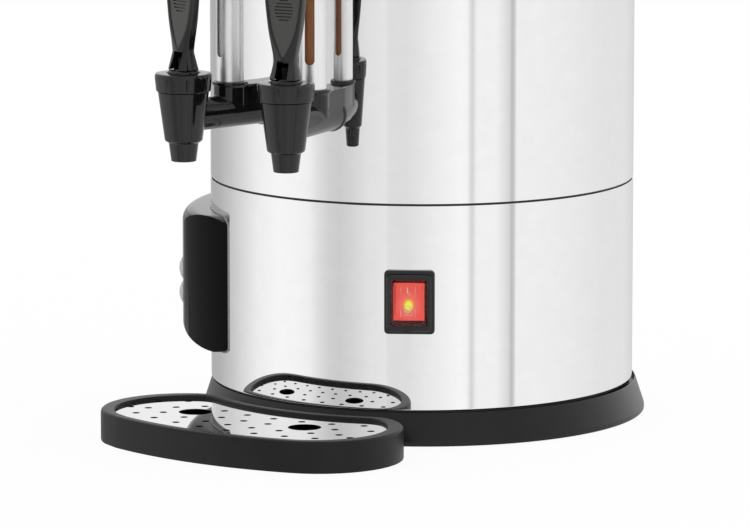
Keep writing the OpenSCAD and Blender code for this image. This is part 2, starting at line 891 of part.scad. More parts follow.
module tap_stem(side) {
    color(steel) at_tap(side) difference() {
        union() {
            translate([0, 0, 194.1]) cylinder(r = stem_r, h = pin_z - 194.1);
            intersection() {
                translate([0, 0, pin_z]) rotate([0, 90, 0])
                    cylinder(r = stem_r, h = 2 * stem_r, center = true);
                translate([0, 0, pin_z - 5]) cylinder(r = stem_r, h = 10);
            }
        }
        translate([0, 0, pin_z]) rotate([0, 90, 0]) cylinder(r = pin_r + 0.02, h = 10, center = true);
    }
}

// Silicone valve cup: seat disc, waist and a skirt that wipes the chamber
module seat_cup(side) {
    color(silicone) at_tap(side) rotate_extrude() polygon([
        [0, seat_z + 0.1], [8.2, seat_z + 0.1], [8.2, seat_z + 3], [5.6, seat_z + 5.5],
        [5.6, cup_top - 5], [chamber_r - 0.1, cup_top - 2], [chamber_r - 0.1, cup_top],
        [stem_r + 0.02, cup_top], [stem_r + 0.02, seat_z + 6], [0, seat_z + 6]
    ]);
}

// Round wire wound into a compression spring that stands on z = 0
module coil(r, wire_r, h, turns) {
    steps = turns * 20;
    tube([for (i = [0 : steps]) let (a = 360 * turns * i / steps)
        [r * cos(a), r * sin(a), h * i / steps]], wire_r, [0, 0, 1]);
}

module tap_spring(side) {
    wire_r = 0.6;
    color(dull_steel) at_tap(side) translate([0, 0, cup_top + wire_r + play])
        coil(6.5, wire_r, bonnet_roof - cup_top - 2 * (wire_r + play), 4);
}

// ---------------------------------------------------------------- gauges

// Supply pipe with its wall flange, threaded shank and gauge socket
module gauge_fitting(side) {
    color(black_gloss) facing(side * tap_angle) difference() {
        union() {
            difference() {
                union() {
                    radial_rod(pipe_r, body_r - 2, tap_r - 5, pipe_z);
                    radial_rod(flange_r, body_r - 2, flange_end, pipe_z);
                    translate([-9.2, -gauge_r, pipe_z]) cube([18.4, gauge_r - body_r + 5, 16.2]);
                    translate([0, -gauge_r, pipe_z])
                        cylinder(r = socket_r, h = gauge_foot_z - pipe_z);
                    translate([0, -gauge_r, gauge_foot_z - 2.3]) cylinder(r = lip_r, h = 2.3);
                }
                body_core();
                translate([0, -tap_r, 0]) rotate_extrude() offset_profile();
            }
            radial_rod(shank_r, shank_end, body_r + 2, pipe_z);
            radial_rod(spigot_r, tap_r - 16, tap_r - 10.4, pipe_z);
        }
        radial_rod(bore_r, shank_end - 1, tap_r, pipe_z);
        translate([0, -gauge_r, pipe_z]) cylinder(r = glass_r + play, h = 30);
        translate([0, -gauge_r, seal_z[0]]) cylinder(r = seal_r + play, h = seal_h);
    }
}

// Half profile of the tap body's outside, with play all round
module offset_profile() {
    polygon([
        [0, spout_z + 14], [11.5 + play, spout_z + 14], [15.3 + play, bonnet_z - 0.6],
        [15.3 + play, bonnet_z], [0, bonnet_z]
    ]);
}

module gauge_glass(side) {
    color("#dfe9ea") facing(side * tap_angle) translate([0, -gauge_r, 0])
        ring(glass_in, glass_r, glass_z[0], glass_z[1]);
}

module gauge_shield(side) {
    z0 = gauge_foot_z + play;
    slot_z = [z0 + slot_foot + gauge_slot / 2, gauge_top_z - slot_head - gauge_slot / 2];
    color(steel) facing(side * tap_angle) translate([0, -gauge_r, 0])
        facing(slot_facing[side == LEFT ? 0 : 1] - side * tap_angle) difference() {
            ring(shield_r - 0.8, shield_r, z0, gauge_top_z);
            for (z = slot_z) radial_rod(gauge_slot / 2, -12, 12, z);
            translate([-gauge_slot / 2, -12, slot_z[0]])
                cube([gauge_slot, 24, slot_z[1] - slot_z[0]]);
        }
}

// Top fittings: cap over the glass and shield with a stay to the wall
module gauge_caps() {
    z0 = gauge_top_z + play;
    color(black_gloss) for (side = [LEFT, RIGHT]) facing(side * tap_angle) difference() {
        union() {
            translate([0, -gauge_r, z0]) cylinder(r = lip_r, h = 11);
            translate([0, -gauge_r, z0 + 11]) cylinder(r = lip_r - 1.5, h = 1.5);
            translate([-5, -gauge_r, z0 + 1]) cube([10, gauge_r - body_r + 4, 8]);
        }
        body_core();
        translate([0, -gauge_r, z0 - 1]) cylinder(r = glass_r + play, h = 8);
        translate([0, -gauge_r, seal_z[1]]) cylinder(r = seal_r + play, h = seal_h);
    }
}

// Silicone rings that seal each glass in its socket and cap
module gauge_seals() {
    color(silicone) for (side = [LEFT, RIGHT]) facing(side * tap_angle)
        translate([0, -gauge_r, 0]) {
            for (z = seal_z) ring(glass_r + play, seal_r, z + play, z + seal_h - play);
        }
}

// Hexagon nuts that hold the shanks inside the tanks
module shank_nuts() {
    color(brass) for (side = [LEFT, RIGHT]) facing(side * tap_angle) difference() {
        translate([0, -nut_y[0], pipe_z]) rotate([90, 0, 0])
            cylinder(r = nut_r, h = nut_y[1] - nut_y[0], $fn = 6);
        radial_rod(shank_r + play, shank_end, body_r, pipe_z);
    }
}

// Saddle washers between the nuts and the round tank wall
module shank_seals() {
    color(silicone) for (side = [LEFT, RIGHT]) facing(side * tap_angle) intersection() {
        difference() {
            radial_rod(nut_r - 2, nut_y[1] + play, tank_r, pipe_z);
            radial_rod(shank_r + play, shank_end, body_r, pipe_z);
        }
        body_core(tank_in - play);
    }
}

// ---------------------------------------------------------------- the assembly

foot_ring();
base_ring();
bottom_plate();
base_screws();
lower_shell();
deck_plate();
upper_shell();
top_collar();
left_tank();
right_tank();
insulation();
heaters();
thermostats();
thermal_cutouts();
terminal_block();
control_board();
wiring();
switch_bezel();
switch_hood();
switch_body();
switch_rocker();
power_inlet();
panel_screws();
control_housing();
button_board();
upper_button();
lower_button();
drip_tray();
drip_grid();
lid();
lid_seal();
lid_knob();
knob_screw();
left_carry_handle();
right_carry_handle();
handle_screws();
gauge_caps();
gauge_seals();
shank_nuts();
shank_seals();
tap_body(LEFT);  // left_tap_body
tap_bonnet(LEFT);  // left_tap_bonnet
tap_lever(LEFT);  // left_tap_lever
lever_pin(LEFT);  // left_lever_pin
tap_stem(LEFT);  // left_tap_stem
seat_cup(LEFT);  // left_seat_cup
tap_spring(LEFT);  // left_tap_spring
gauge_fitting(LEFT);  // left_gauge_fitting
gauge_glass(LEFT);  // left_gauge_glass
gauge_shield(LEFT);  // left_gauge_shield
tap_body(RIGHT);  // right_tap_body
tap_bonnet(RIGHT);  // right_tap_bonnet
tap_lever(RIGHT);  // right_tap_lever
lever_pin(RIGHT);  // right_lever_pin
tap_stem(RIGHT);  // right_tap_stem
seat_cup(RIGHT);  // right_seat_cup
tap_spring(RIGHT);  // right_tap_spring
gauge_fitting(RIGHT);  // right_gauge_fitting
gauge_glass(RIGHT);  // right_gauge_glass
gauge_shield(RIGHT);  // right_gauge_shield
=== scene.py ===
"""Looks of the twin-tank hot drinks urn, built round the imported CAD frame.

Lengths in this script are millimetres unless a name ends in _m; Blender gets metres.
Front is -Y. Angles about the body's axis are counted from the front, positive towards +X.
"""
import math

import bmesh
import bpy
from mathutils import Matrix, Vector


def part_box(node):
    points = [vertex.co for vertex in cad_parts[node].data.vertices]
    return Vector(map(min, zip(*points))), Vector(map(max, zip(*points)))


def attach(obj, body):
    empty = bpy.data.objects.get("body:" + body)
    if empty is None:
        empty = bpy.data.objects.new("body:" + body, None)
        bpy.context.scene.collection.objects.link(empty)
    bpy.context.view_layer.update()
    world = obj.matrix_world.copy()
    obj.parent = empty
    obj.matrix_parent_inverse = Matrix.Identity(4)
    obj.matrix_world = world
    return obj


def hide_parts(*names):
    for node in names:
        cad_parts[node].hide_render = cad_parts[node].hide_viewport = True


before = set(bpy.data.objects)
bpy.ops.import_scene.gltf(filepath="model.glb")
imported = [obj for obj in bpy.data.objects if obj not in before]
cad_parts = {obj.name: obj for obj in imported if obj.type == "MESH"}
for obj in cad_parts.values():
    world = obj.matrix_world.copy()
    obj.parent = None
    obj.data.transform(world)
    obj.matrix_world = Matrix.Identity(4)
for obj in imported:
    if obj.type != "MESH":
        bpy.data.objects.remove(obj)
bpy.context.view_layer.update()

MM = 0.001
LEFT, RIGHT = -1, 1
SIDES = {"left": LEFT, "right": RIGHT}


# ---- sizes read from the frame

def node_box(node):
    """Lowest and highest corner of a CAD node in millimetres."""
    lo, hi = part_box(node)
    return [v / MM for v in lo], [v / MM for v in hi]


def height_span(node):
    lo, hi = node_box(node)
    return lo[2], hi[2]


def axis_of(node):
    """Angle and distance of a node's middle from the body's axis."""
    lo, hi = node_box(node)
    x, y = (lo[0] + hi[0]) / 2, (lo[1] + hi[1]) / 2
    return math.degrees(math.atan2(x, -y)), math.hypot(x, y)


shell_lo, shell_hi = node_box("lower_shell")
BODY_R = (shell_hi[0] - shell_lo[0]) / 2
GROOVE_FOOT = shell_hi[2]
GROOVE_HEAD, SHELL_TOP = height_span("upper_shell")
ring_lo, ring_hi = node_box("base_ring")
RING_R = (ring_hi[0] - ring_lo[0]) / 2
RING_SHIFT = ((ring_hi[0] + ring_lo[0]) / 2, (ring_hi[1] + ring_lo[1]) / 2)
TAP_ANGLE, TAP_R = axis_of("right_tap_body")
GAUGE_INWARD = 2.4  # the tubes stand this much nearer the wall than the CAD's
GAUGE_R = axis_of("right_gauge_glass")[1] - GAUGE_INWARD
SHIELD_FOOT, SHIELD_TOP = height_span("right_gauge_shield")

# ---- camera

CAMERA_AZIMUTH = 36.3
CAMERA_DISTANCE = 3656.25
CAMERA_HEIGHT = 676.98
CAMERA_PITCH = 9.121
CAMERA_AIM_LEFT = 0.456
CAMERA_LENS = 285.9


def make_camera():
    data = bpy.data.cameras.new("camera")
    data.lens = CAMERA_LENS
    data.sensor_width = 36
    data.clip_end = 50
    camera = place("camera", data)
    a = math.radians(CAMERA_AZIMUTH)
    camera.location = (
        CAMERA_DISTANCE * math.sin(a) * MM,
        -CAMERA_DISTANCE * math.cos(a) * MM,
        CAMERA_HEIGHT * MM,
    )
    camera.rotation_euler = (
        math.radians(90 - CAMERA_PITCH), 0, math.radians(CAMERA_AZIMUTH + CAMERA_AIM_LEFT)
    )
    bpy.context.scene.camera = camera


# ---- materials

def maths(tree, kind, *values):
    """Output of a maths node; each value is a number or a socket."""
    node = tree.nodes.new("ShaderNodeMath")
    node.operation = kind
    for socket, value in zip(node.inputs, values):
        if isinstance(value, (int, float)):
            socket.default_value = value
        else:
            tree.links.new(value, socket)
    return node.outputs[0]


def fill_ramp(node, stops):
    """Gives a colour ramp its stops of (position, colour)."""
    elements = node.color_ramp.elements
    while len(elements) < len(stops):
        elements.new(0.5)
    for element, (at, _) in zip(elements, stops):
        element.position = at
    for element, (_, colour) in zip(elements, stops):
        element.color = (*colour, 1)


def grey(level):
    return (level, level, level)


class Shader:
    """Small wrapper for building a node material."""

    def __init__(self, name):
        """A slot of the record keeps its imported material, so the CAD nodes take the new look too."""
        self.material = bpy.data.materials.get(name) or bpy.data.materials.new(name)
        self.material.use_nodes = True
        self.tree = self.material.node_tree
        self.tree.nodes.clear()
        self.bsdf = self.tree.nodes.new("ShaderNodeBsdfPrincipled")
        out = self.tree.nodes.new("ShaderNodeOutputMaterial")
        self.link(self.bsdf.outputs["BSDF"], out.inputs["Surface"])

    def node(self, kind, **settings):
        made = self.tree.nodes.new(kind)
        for key, value in settings.items():
            if key in made.inputs:
                made.inputs[key].default_value = value
            else:
                setattr(made, key, value)
        return made

    def link(self, source, target):
        self.tree.links.new(source, target)

    def set(self, **values):
        for key, value in values.items():
            socket = self.bsdf.inputs[key.replace("_", " ")]
            socket.default_value = (*value, 1) if isinstance(value, tuple) and len(value) == 3 else value
        return self

    def position(self, scale=(1, 1, 1)):
        """Object coordinates in metres, stretched by scale."""
        coords = self.node("ShaderNodeTexCoord")
        mapping = self.node("ShaderNodeMapping")
        mapping.inputs["Scale"].default_value = scale
        self.link(coords.outputs["Object"], mapping.inputs["Vector"])
        return mapping.outputs["Vector"]

    def noise(self, size_mm, detail=2.0, stretch=(1, 1, 1)):
        """Noise whose grains are about size_mm across."""
        made = self.node("ShaderNodeTexNoise", Detail=detail)
        made.inputs["Scale"].default_value = 1 / (size_mm * MM)
        self.link(self.position(stretch), made.inputs["Vector"])
        return made.outputs["Fac"]

    def spread(self, value, low, high):
        """Maps a 0 to 1 value to a range."""
        made = self.node("ShaderNodeMapRange")
        made.inputs["To Min"].default_value = low
        made.inputs["To Max"].default_value = high
        self.link(value, made.inputs["Value"])
        return made.outputs["Result"]

    def tint(self, value, dark, light):
        """Colour that goes from dark to light with a 0 to 1 value."""
        ramp = self.node("ShaderNodeValToRGB")
        fill_ramp(ramp, [(0.3, dark), (0.7, light)])
        self.link(value, ramp.inputs["Fac"])
        self.link(ramp.outputs["Color"], self.bsdf.inputs["Base Color"])

    def roughness(self, value, low, high):
        self.link(self.spread(value, low, high), self.bsdf.inputs["Roughness"])

    def bump(self, height, depth_mm, strength):
        made = self.node("ShaderNodeBump", Strength=strength)
        made.inputs["Distance"].default_value = depth_mm * MM
        self.link(height, made.inputs["Height"])
        self.link(made.outputs["Normal"], self.bsdf.inputs["Normal"])


def surface(name, tint=None, rough=None, relief=None, **sockets):
    """Material from fixed sockets and noises.

    Each noise setting is two values and then the noise itself, its size in mm, detail and stretch:
    tint from a dark to a light colour, rough from low to high, relief with its depth and strength.
    """
    s = Shader(name).set(**sockets)
    if tint:
        s.tint(s.noise(*tint[2:]), *tint[:2])
    if rough:
        s.roughness(s.noise(*rough[2:]), *rough[:2])
    if relief:
        s.bump(s.noise(*relief[2:]), *relief[:2])
    return s.material


def plastic(name, dark, light, rough, size_mm=1.5):
    """Moulded part with slight colour variation and grain."""
    grain = (size_mm, 3)
    haze = (rough - 0.05, rough + 0.07, *grain)
    return surface(name, (dark, light, *grain), haze, (0.03, 0.3, *grain), IOR=1.5)


def lit_red():
    """Translucent red rocker with a lamp behind it that shows as a yellow-green glow, and a painted glint: a
    small glowing spot above the lamp that stands for its reflection.
    """
    s = Shader("rocker_red").set(IOR=1.5, Emission_Strength=0.85)
    cloud = s.noise(2.5, 3)
    s.tint(cloud, (0.20, 0.010, 0.006), (0.27, 0.016, 0.009))
    s.roughness(cloud, 0.20, 0.30)
    coords = s.node("ShaderNodeTexCoord").outputs["Object"]

    def distance(spot, upright):
        """Distance in metres from a point of the rocker's face, shorter upwards by a factor."""
        x, y, z = turned((spot[0], -134, SWITCH_Z + spot[1]), SWITCH_ANGLE)
        shift = s.node("ShaderNodeMapping")
        shift.inputs["Scale"].default_value = (1, 1, upright)
        shift.inputs["Location"].default_value = (-x * MM, -y * MM, -z * upright * MM)
        s.link(coords, shift.inputs["Vector"])
        length = s.node("ShaderNodeVectorMath", operation="LENGTH")
        s.link(shift.outputs["Vector"], length.inputs[0])
        return length.outputs["Value"]

    # painted glint: the lamp's reflection drawn as a small glowing spot
    painted_glint = maths(s.tree, "MULTIPLY_ADD", distance(PAINTED_GLINT_AT, 1.0), 3.0, 1.4 * MM)
    nearest = maths(s.tree, "MINIMUM", distance(LAMP_AT, 0.8), painted_glint)
    reach = s.node("ShaderNodeMapRange")
    reach.inputs["From Max"].default_value = 10 * MM
    s.link(nearest, reach.inputs["Value"])
    glow = s.node("ShaderNodeValToRGB")
    fill_ramp(glow, [
        (0.0, (0.74, 1.0, 0.03)), (0.18, (0.76, 0.92, 0.03)), (0.25, (0.74, 0.50, 0.04)),
        (0.33, (0.72, 0.19, 0.07)), (0.50, (0.71, 0.115, 0.085)), (0.85, (0.70, 0.060, 0.042)),
    ])
    s.link(reach.outputs["Result"], glow.inputs["Fac"])
    s.link(glow.outputs["Color"], s.bsdf.inputs["Emission Color"])
    return s.material


# ---- mesh helpers

def fillet(corners, steps=6):
    """Outline through corners (x, y, radius); a radius above 0 becomes an arc."""
    points = []
    count = len(corners)
    for i, (x, y, radius) in enumerate(corners):
        here = Vector((x, y))
        if radius <= 0 or i in (0, count - 1):
            points.append((x, y))
            continue
        back = (Vector(corners[i - 1][:2]) - here).normalized()
        on = (Vector(corners[i + 1][:2]) - here).normalized()
        half = math.acos(max(-1, min(1, back.dot(on)))) / 2
        reach = radius / math.tan(half)
        start, end = here + back * reach, here + on * reach
        centre = here + (back + on).normalized() * (radius / math.sin(half))
        a0 = math.atan2(*(start - centre).yx)
        a1 = math.atan2(*(end - centre).yx)
        turn = (a1 - a0 + math.pi) % (2 * math.pi) - math.pi
        for k in range(steps + 1):
            a = a0 + turn * k / steps
            points.append((centre.x + radius * math.cos(a), centre.y + radius * math.sin(a)))
    return points


def place(name, data):
    """New object in the scene for a mesh or a camera."""
    obj = bpy.data.objects.new(name, data)
    bpy.context.scene.collection.objects.link(obj)
    return obj


def merge(name, parts):
    """One object from the meshes of temporary ones, overlaps and all."""
    bm = bmesh.new()
    for part in parts:
        bm.from_mesh(part.data)
        bpy.data.objects.remove(part)
    mesh = bpy.data.meshes.new(name)
    bm.to_mesh(mesh)
    bm.free()
    return place(name, mesh)


def spin(angle, axis="Z"):
    return Matrix.Rotation(math.radians(angle), 4, axis)


def to_object(name, verts, faces, material, smooth=35):
    """Mesh object from millimetre points, smooth except at edges sharper than smooth degrees."""
    mesh = bpy.data.meshes.new(name)
    mesh.from_pydata([(x * MM, y * MM, z * MM) for x, y, z in verts], [], faces)
    bm = bmesh.new()
    bm.from_mesh(mesh)
    bmesh.ops.remove_doubles(bm, verts=bm.verts, dist=0.002 * MM)
    bmesh.ops.recalc_face_normals(bm, faces=bm.faces)
    bm.to_mesh(mesh)
    bm.free()
    obj = place(name, mesh)
    obj.data.materials.append(material)
    shade(obj, smooth)
    return obj


def shade(obj, smooth=35):
    mesh = obj.data
    for polygon in mesh.polygons:
        polygon.use_smooth = True
    mesh.set_sharp_from_angle(angle=math.radians(smooth))


def lathe(name, profile, material, centre=(0, 0), segments=96, closed=False):
    """Turns a profile of (radius, height) points about an upright axis."""
    turns = [2 * math.pi * i / segments for i in range(segments)]
    ring = [(math.cos(a), math.sin(a)) for a in turns]
    verts, rows = [], []
    for r, z in profile:
        if r < 1e-6:
            rows.append([len(verts)])
            verts.append((centre[0], centre[1], z))
        else:
            rows.append(range(len(verts), len(verts) + segments))
            verts.extend((centre[0] + r * c, centre[1] + r * s, z) for c, s in ring)
    faces = []
    pairs = list(zip(rows, rows[1:])) + ([(rows[-1], rows[0])] if closed else [])
    for low, high in pairs:
        for i in range(segments):
            j = (i + 1) % segments
            quad = [low[i % len(low)], low[j % len(low)], high[j % len(high)], high[i % len(high)]]
            face = list(dict.fromkeys(quad))
            if len(face) > 2:
                faces.append(face)
    return to_object(name, verts, faces, material)


def loft(name, rings, material, smooth=35, cap=True, closed=False):
    """Skin over rings that all have the same number of points."""
    count = len(rings[0])
    verts = [p for ring in rings for p in ring]
    faces = []
    pairs = [(k, k + 1) for k in range(len(rings) - 1)] + ([(len(rings) - 1, 0)] if closed else [])
    for low, high in pairs:
        for i in range(count):
            j = (i + 1) % count
            faces.append([low * count + i, low * count + j, high * count + j, high * count + i])
    if cap and not closed:
        faces.append(list(range(count)))
        faces.append(list(range((len(rings) - 1) * count, len(rings) * count)))
    return to_object(name, verts, faces, material, smooth)


def turned(point, angle):
    """Point turned about the body's axis, in degrees from the front towards +X."""
    a = math.radians(angle)
    x, y, z = point
    return (x * math.cos(a) - y * math.sin(a), x * math.sin(a) + y * math.cos(a), z)


def turn_object(obj, angle, shift=(0, 0, 0)):
    """Shifts a mesh, then turns it about the body's axis."""
    obj.data.transform(spin(angle) @ Matrix.Translation(Vector(shift) * MM))
    return obj


def cut(obj, *tools, operation="DIFFERENCE", paint=False):
    """Boolean with tools, which are then deleted; paint puts their material on the new faces."""
    for tool in tools:
        modifier = obj.modifiers.new("cut", "BOOLEAN")
        modifier.operation = operation
        modifier.solver = "EXACT"
        modifier.object = tool
        if paint:
            modifier.material_mode = "TRANSFER"
        bake(obj)
        bpy.data.objects.remove(tool)
    return obj


def bake(obj):
    """Applies an object's modifiers to its mesh."""
    graph = bpy.context.evaluated_depsgraph_get()
    graph.update()
    mesh = bpy.data.meshes.new_from_object(obj.evaluated_get(graph), depsgraph=graph)
    obj.modifiers.clear()
    obj.data = mesh


def prism(name, outline, depth, material=None):
    """Flat outline in x and z, pushed from depth[0] to depth[1] along -Y."""
    rings = [[(x, -d, z) for x, z in outline] for d in depth]
    return loft(name, rings, material or bpy.data.materials["gloss_black"])


def round_outline(w, h, r, centre=(0, 0), steps=8):
    """Rectangle with round corners as a closed list of points."""
    points = []
    for quarter, (sx, sz) in enumerate([(1, 1), (-1, 1), (-1, -1), (1, -1)]):
        for k in range(steps + 1):
            a = math.radians(90 * quarter + 90 * k / steps)
            points.append((
                centre[0] + sx * (w / 2 - r) + r * math.cos(a),
                centre[1] + sz * (h / 2 - r) + r * math.sin(a),
            ))
    return points


def circle_outline(r):
    angles = [2 * math.pi * k / 48 for k in range(48)]
    return [(r * math.cos(a), r * math.sin(a)) for a in angles]


def true_round(obj, centre=(0, 0), radii=()):
    """Sets exact upright-cylinder normals on walls at the given radii, so that they mirror cleanly."""
    mesh = obj.data
    normals = [corner.vector.copy() for corner in mesh.corner_normals]
    for polygon in mesh.polygons:
        for loop_index in polygon.loop_indices:
            p = mesh.vertices[mesh.loops[loop_index].vertex_index].co
            out = Vector((p.x - centre[0] * MM, p.y - centre[1] * MM, 0))
            near = any(abs(out.length - r * MM) < 0.06 * MM for r in radii)
            facing = polygon.normal.dot(out.normalized())
            if near and abs(facing) > 0.9:
                normals[loop_index] = out.normalized() * (1 if facing > 0 else -1)
    mesh.normals_split_custom_set(normals)


def finish(obj, body, slot, *nodes):
    """Puts a piece on its body and hides the CAD nodes it stands for; the slot is not used."""
    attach(obj, body)
    if nodes:
        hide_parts(*nodes)


# ---- studio

# Light panels round the object: degrees from the front towards +X, brightness
PANELS = [
    (-180, 0.81), (-150, 0.66), (-126, 0.44), (-108, 0.47), (-90, 0.61), (-77, 0.76), (-64, 0.92),
    (-48, 1.0), (-34, 0.98), (-27, 0.93), (-21.5, 0.79), (-15.5, 0.69), (-9.5, 0.65), (-3.5, 0.69),
    (7.5, 0.81), (17.2, 0.85), (18.2, 0.79), (28, 0.78), (40, 0.88), (57, 1.0), (60.5, 0.98),
    (63.4, 0.69), (65.6, 0.95), (77, 0.95), (84.2, 0.74), (86.8, 0.42), (87.7, 0.93), (100, 0.93),
    (125, 0.89), (150, 0.83), (180, 0.81),
]

# Brightness by height above the horizon, and how far the ring of panels reaches
CEILING = [(-90, 0.86), (-30, 0.86), (20, 0.80), (42, 0.62), (58, 0.95), (75, 1.0), (90, 1.0)]

# Extra light of the bright wall behind the object, by direction and by height
BEHIND = [(-180, 1.0), (-125, 1.0), (-85, 0.3), (-60, 0.0), (115, 0.0), (150, 0.6), (180, 1.0)]
ABOVE = [(-90, 0.0), (-4, 0.0), (4, 1.0), (55, 1.0), (75, 0.0)]
REAR_GAIN = 0.7
REACH = [(-60, 0.0), (-35, 1.0), (22, 1.0), (40, 0.0)]


def ramp(tree, value, stops, low, high):
    """Grey level by angle: stops of (degrees, level) between low and high."""
    node = tree.nodes.new("ShaderNodeValToRGB")
    scaled = tree.nodes.new("ShaderNodeMapRange")
    scaled.inputs["From Min"].default_value = math.radians(low)
    scaled.inputs["From Max"].default_value = math.radians(high)
    tree.links.new(value, scaled.inputs["Value"])
    tree.links.new(scaled.outputs["Result"], node.inputs["Fac"])
    fill_ramp(node, [((at - low) / (high - low), grey(level)) for at, level in stops])
    return node.outputs["Color"]


def make_world():
    world = bpy.data.worlds.new("studio")
    bpy.context.scene.world = world
    world.use_nodes = True
    tree = world.node_tree
    tree.nodes.clear()
    new, link = tree.nodes.new, tree.links.new

    coords = new("ShaderNodeTexCoord")
    split = new("ShaderNodeSeparateXYZ")
    link(coords.outputs["Generated"], split.inputs[0])
    x, y, z = split.outputs
    around = maths(tree, "ARCTAN2", x, maths(tree, "MULTIPLY", y, -1.0))
    up = maths(tree, "ARCSINE", z)
    panels = ramp(tree, around, PANELS, -180, 180)
    ceiling = ramp(tree, up, CEILING, -90, 90)
    reach = ramp(tree, up, REACH, -90, 90)

    blend = new("ShaderNodeMixRGB")
    link(reach, blend.inputs["Fac"])
    link(ceiling, blend.inputs["Color1"])
    link(panels, blend.inputs["Color2"])

    rear = maths(tree, "MULTIPLY", ramp(tree, around, BEHIND, -180, 180), ramp(tree, up, ABOVE, -90, 90))
    gain = maths(tree, "MULTIPLY_ADD", rear, REAR_GAIN, 1.0)

    seen = new("ShaderNodeLightPath")
    white = new("ShaderNodeMixRGB")
    direct = maths(tree, "MAXIMUM", seen.outputs["Is Camera Ray"], seen.outputs["Is Transmission Ray"])
    link(direct, white.inputs["Fac"])
    link(blend.outputs["Color"], white.inputs["Color1"])
    white.inputs["Color2"].default_value = (1, 1, 1, 1)

    background = new("ShaderNodeBackground")
    link(white.outputs["Color"], background.inputs["Color"])
    level = new("ShaderNodeMapRange")
    link(direct, level.inputs["Value"])
    link(gain, level.inputs["To Min"])
    level.inputs["To Max"].default_value = 1.0
    link(level.outputs["Result"], background.inputs["Strength"])
    out = new("ShaderNodeOutputWorld")
    link(background.outputs["Background"], out.inputs["Surface"])


def make_floor():
    """Pale floor that shows white to the camera and keeps the object's soft shadow."""
    s = Shader("floor").set(Base_Color=(1.0, 1.0, 1.0), Roughness=0.9, Specular_IOR_Level=0.0)
    glow = s.node("ShaderNodeEmission")
    glow.inputs["Color"].default_value = (1, 1, 1, 1)
    seen = s.node("ShaderNodeLightPath").outputs
    direct = maths(s.tree, "MAXIMUM", seen["Is Camera Ray"], seen["Is Glossy Ray"])
    direct = maths(s.tree, "MAXIMUM", direct, seen["Is Transmission Ray"])
    mix = s.node("ShaderNodeMixShader")
    s.link(maths(s.tree, "MULTIPLY", direct, FLOOR_GLOW), mix.inputs[0])
    s.link(s.bsdf.outputs["BSDF"], mix.inputs[1])
    s.link(glow.outputs["Emission"], mix.inputs[2])
    out = next(n for n in s.tree.nodes if n.type == "OUTPUT_MATERIAL")
    s.link(mix.outputs["Shader"], out.inputs["Surface"])
    floor = lathe("floor", [(0, 0), (3000, 0), (6000, 0)], s.material, segments=64)
    floor.visible_glossy = False


# ---- steel body

def wall_cutter(outline, angle, z):
    """Prism that passes through the body's wall at an angle."""
    return turn_object(prism("tool", outline, (124, 137)), angle, (0, 0, z))


def lower_shell():
    """Mirror-polished lower sleeve with its switch window and rear openings."""
    r, skin = BODY_R, SKIN
    z0, z1 = shell_lo[2], GROOVE_FOOT
    body = lathe("lower_sleeve", fillet([
        (116, z0 + skin, 0), (116, z0, 0), (r, z0, 1.3), (r, z1, 0.15),
        (r - skin, z1, 0.15), (r - skin, z0 + skin, 0.6), (116, z0 + skin, 0),
    ], 5), STEEL, segments=360, closed=True)
    cut(body,
        wall_cutter(round_outline(22.4, 28.4, 2), SWITCH_ANGLE, SWITCH_Z),
        wall_cutter(round_outline(29, 21.4, 3), 180, INLET_Z),
        wall_cutter(circle_outline(6), BUTTON_ANGLE, 81))
    shade(body)
    true_round(body, radii=(r, r - skin))
    finish(body, "urn", "polished_steel", "lower_shell")


def upper_shell():
    """Mirror-polished upper sleeve."""
    r, skin = BODY_R, SKIN
    body = lathe("upper_sleeve", fillet([
        (r - skin, GROOVE_HEAD + 40, 0), (r - skin, GROOVE_HEAD, 0.15), (r, GROOVE_HEAD, 0.15),
        (r, SHELL_TOP, 0.3), (r - skin, SHELL_TOP, 0.3), (r - skin, GROOVE_HEAD + 40, 0),
    ], 4), STEEL, segments=360, closed=True)
    cut(body, *[
        wall_cutter(circle_outline(8.3), side * TAP_ANGLE, PIPE_Z) for side in (LEFT, RIGHT)
    ])
    shade(body)
    true_round(body, radii=(r, r - skin))
    finish(body, "urn", "polished_steel", "upper_shell")


def base_ring():
    """Satin foot moulding: a skirt a little off the body's axis, and the ledge under the sleeve."""
    lip = BODY_R + 0.2
    skirt = lathe("foot_moulding", fillet([
        (126, 15, 0), (126, 2.45, 0), (134.9, 2.45, 0), (134.9, 0.3, 0.2), (RING_R, 0.3, 0.8),
        (RING_R, 3.2, 2), (lip + 0.75, 19.5, 4), (lip + 0.5, 20, 0.25), (lip, 20, 0.15),
        (lip, 17, 0), (126, 17, 0), (126, 15, 0),
    ], 6), SATIN, RING_SHIFT, segments=360, closed=True)
    ledge = lathe("foot_ledge", fillet([
        (116, 18, 0), (116, 15, 0), (BODY_R - 1.8, 15, 0), (BODY_R - 1.8, 20.75, 0.2),
        (116, 20.75, 0), (116, 18, 0),
    ], 3), SATIN, segments=256, closed=True)
    finish(skirt, "urn", "matte_black", "base_ring")
    finish(ledge, "urn", "matte_black")


def top_collar():
    """Rolled steel rim round the tank mouths."""
    r, top = BODY_R, COLLAR_TOP
    collar = lathe("top_rim", fillet([
        (117.5, 475, 0), (117.5, 467.05, 0.3), (r, 467.05, 0.4), (r + 0.8, 468, 0.6),
        (r + 0.8, top - 0.01, 5.6), (117.5, top, 0.6), (117.5, 475, 0),
    ], 10), STEEL, segments=256, closed=True)
    finish(collar, "urn", "polished_steel", "top_collar")


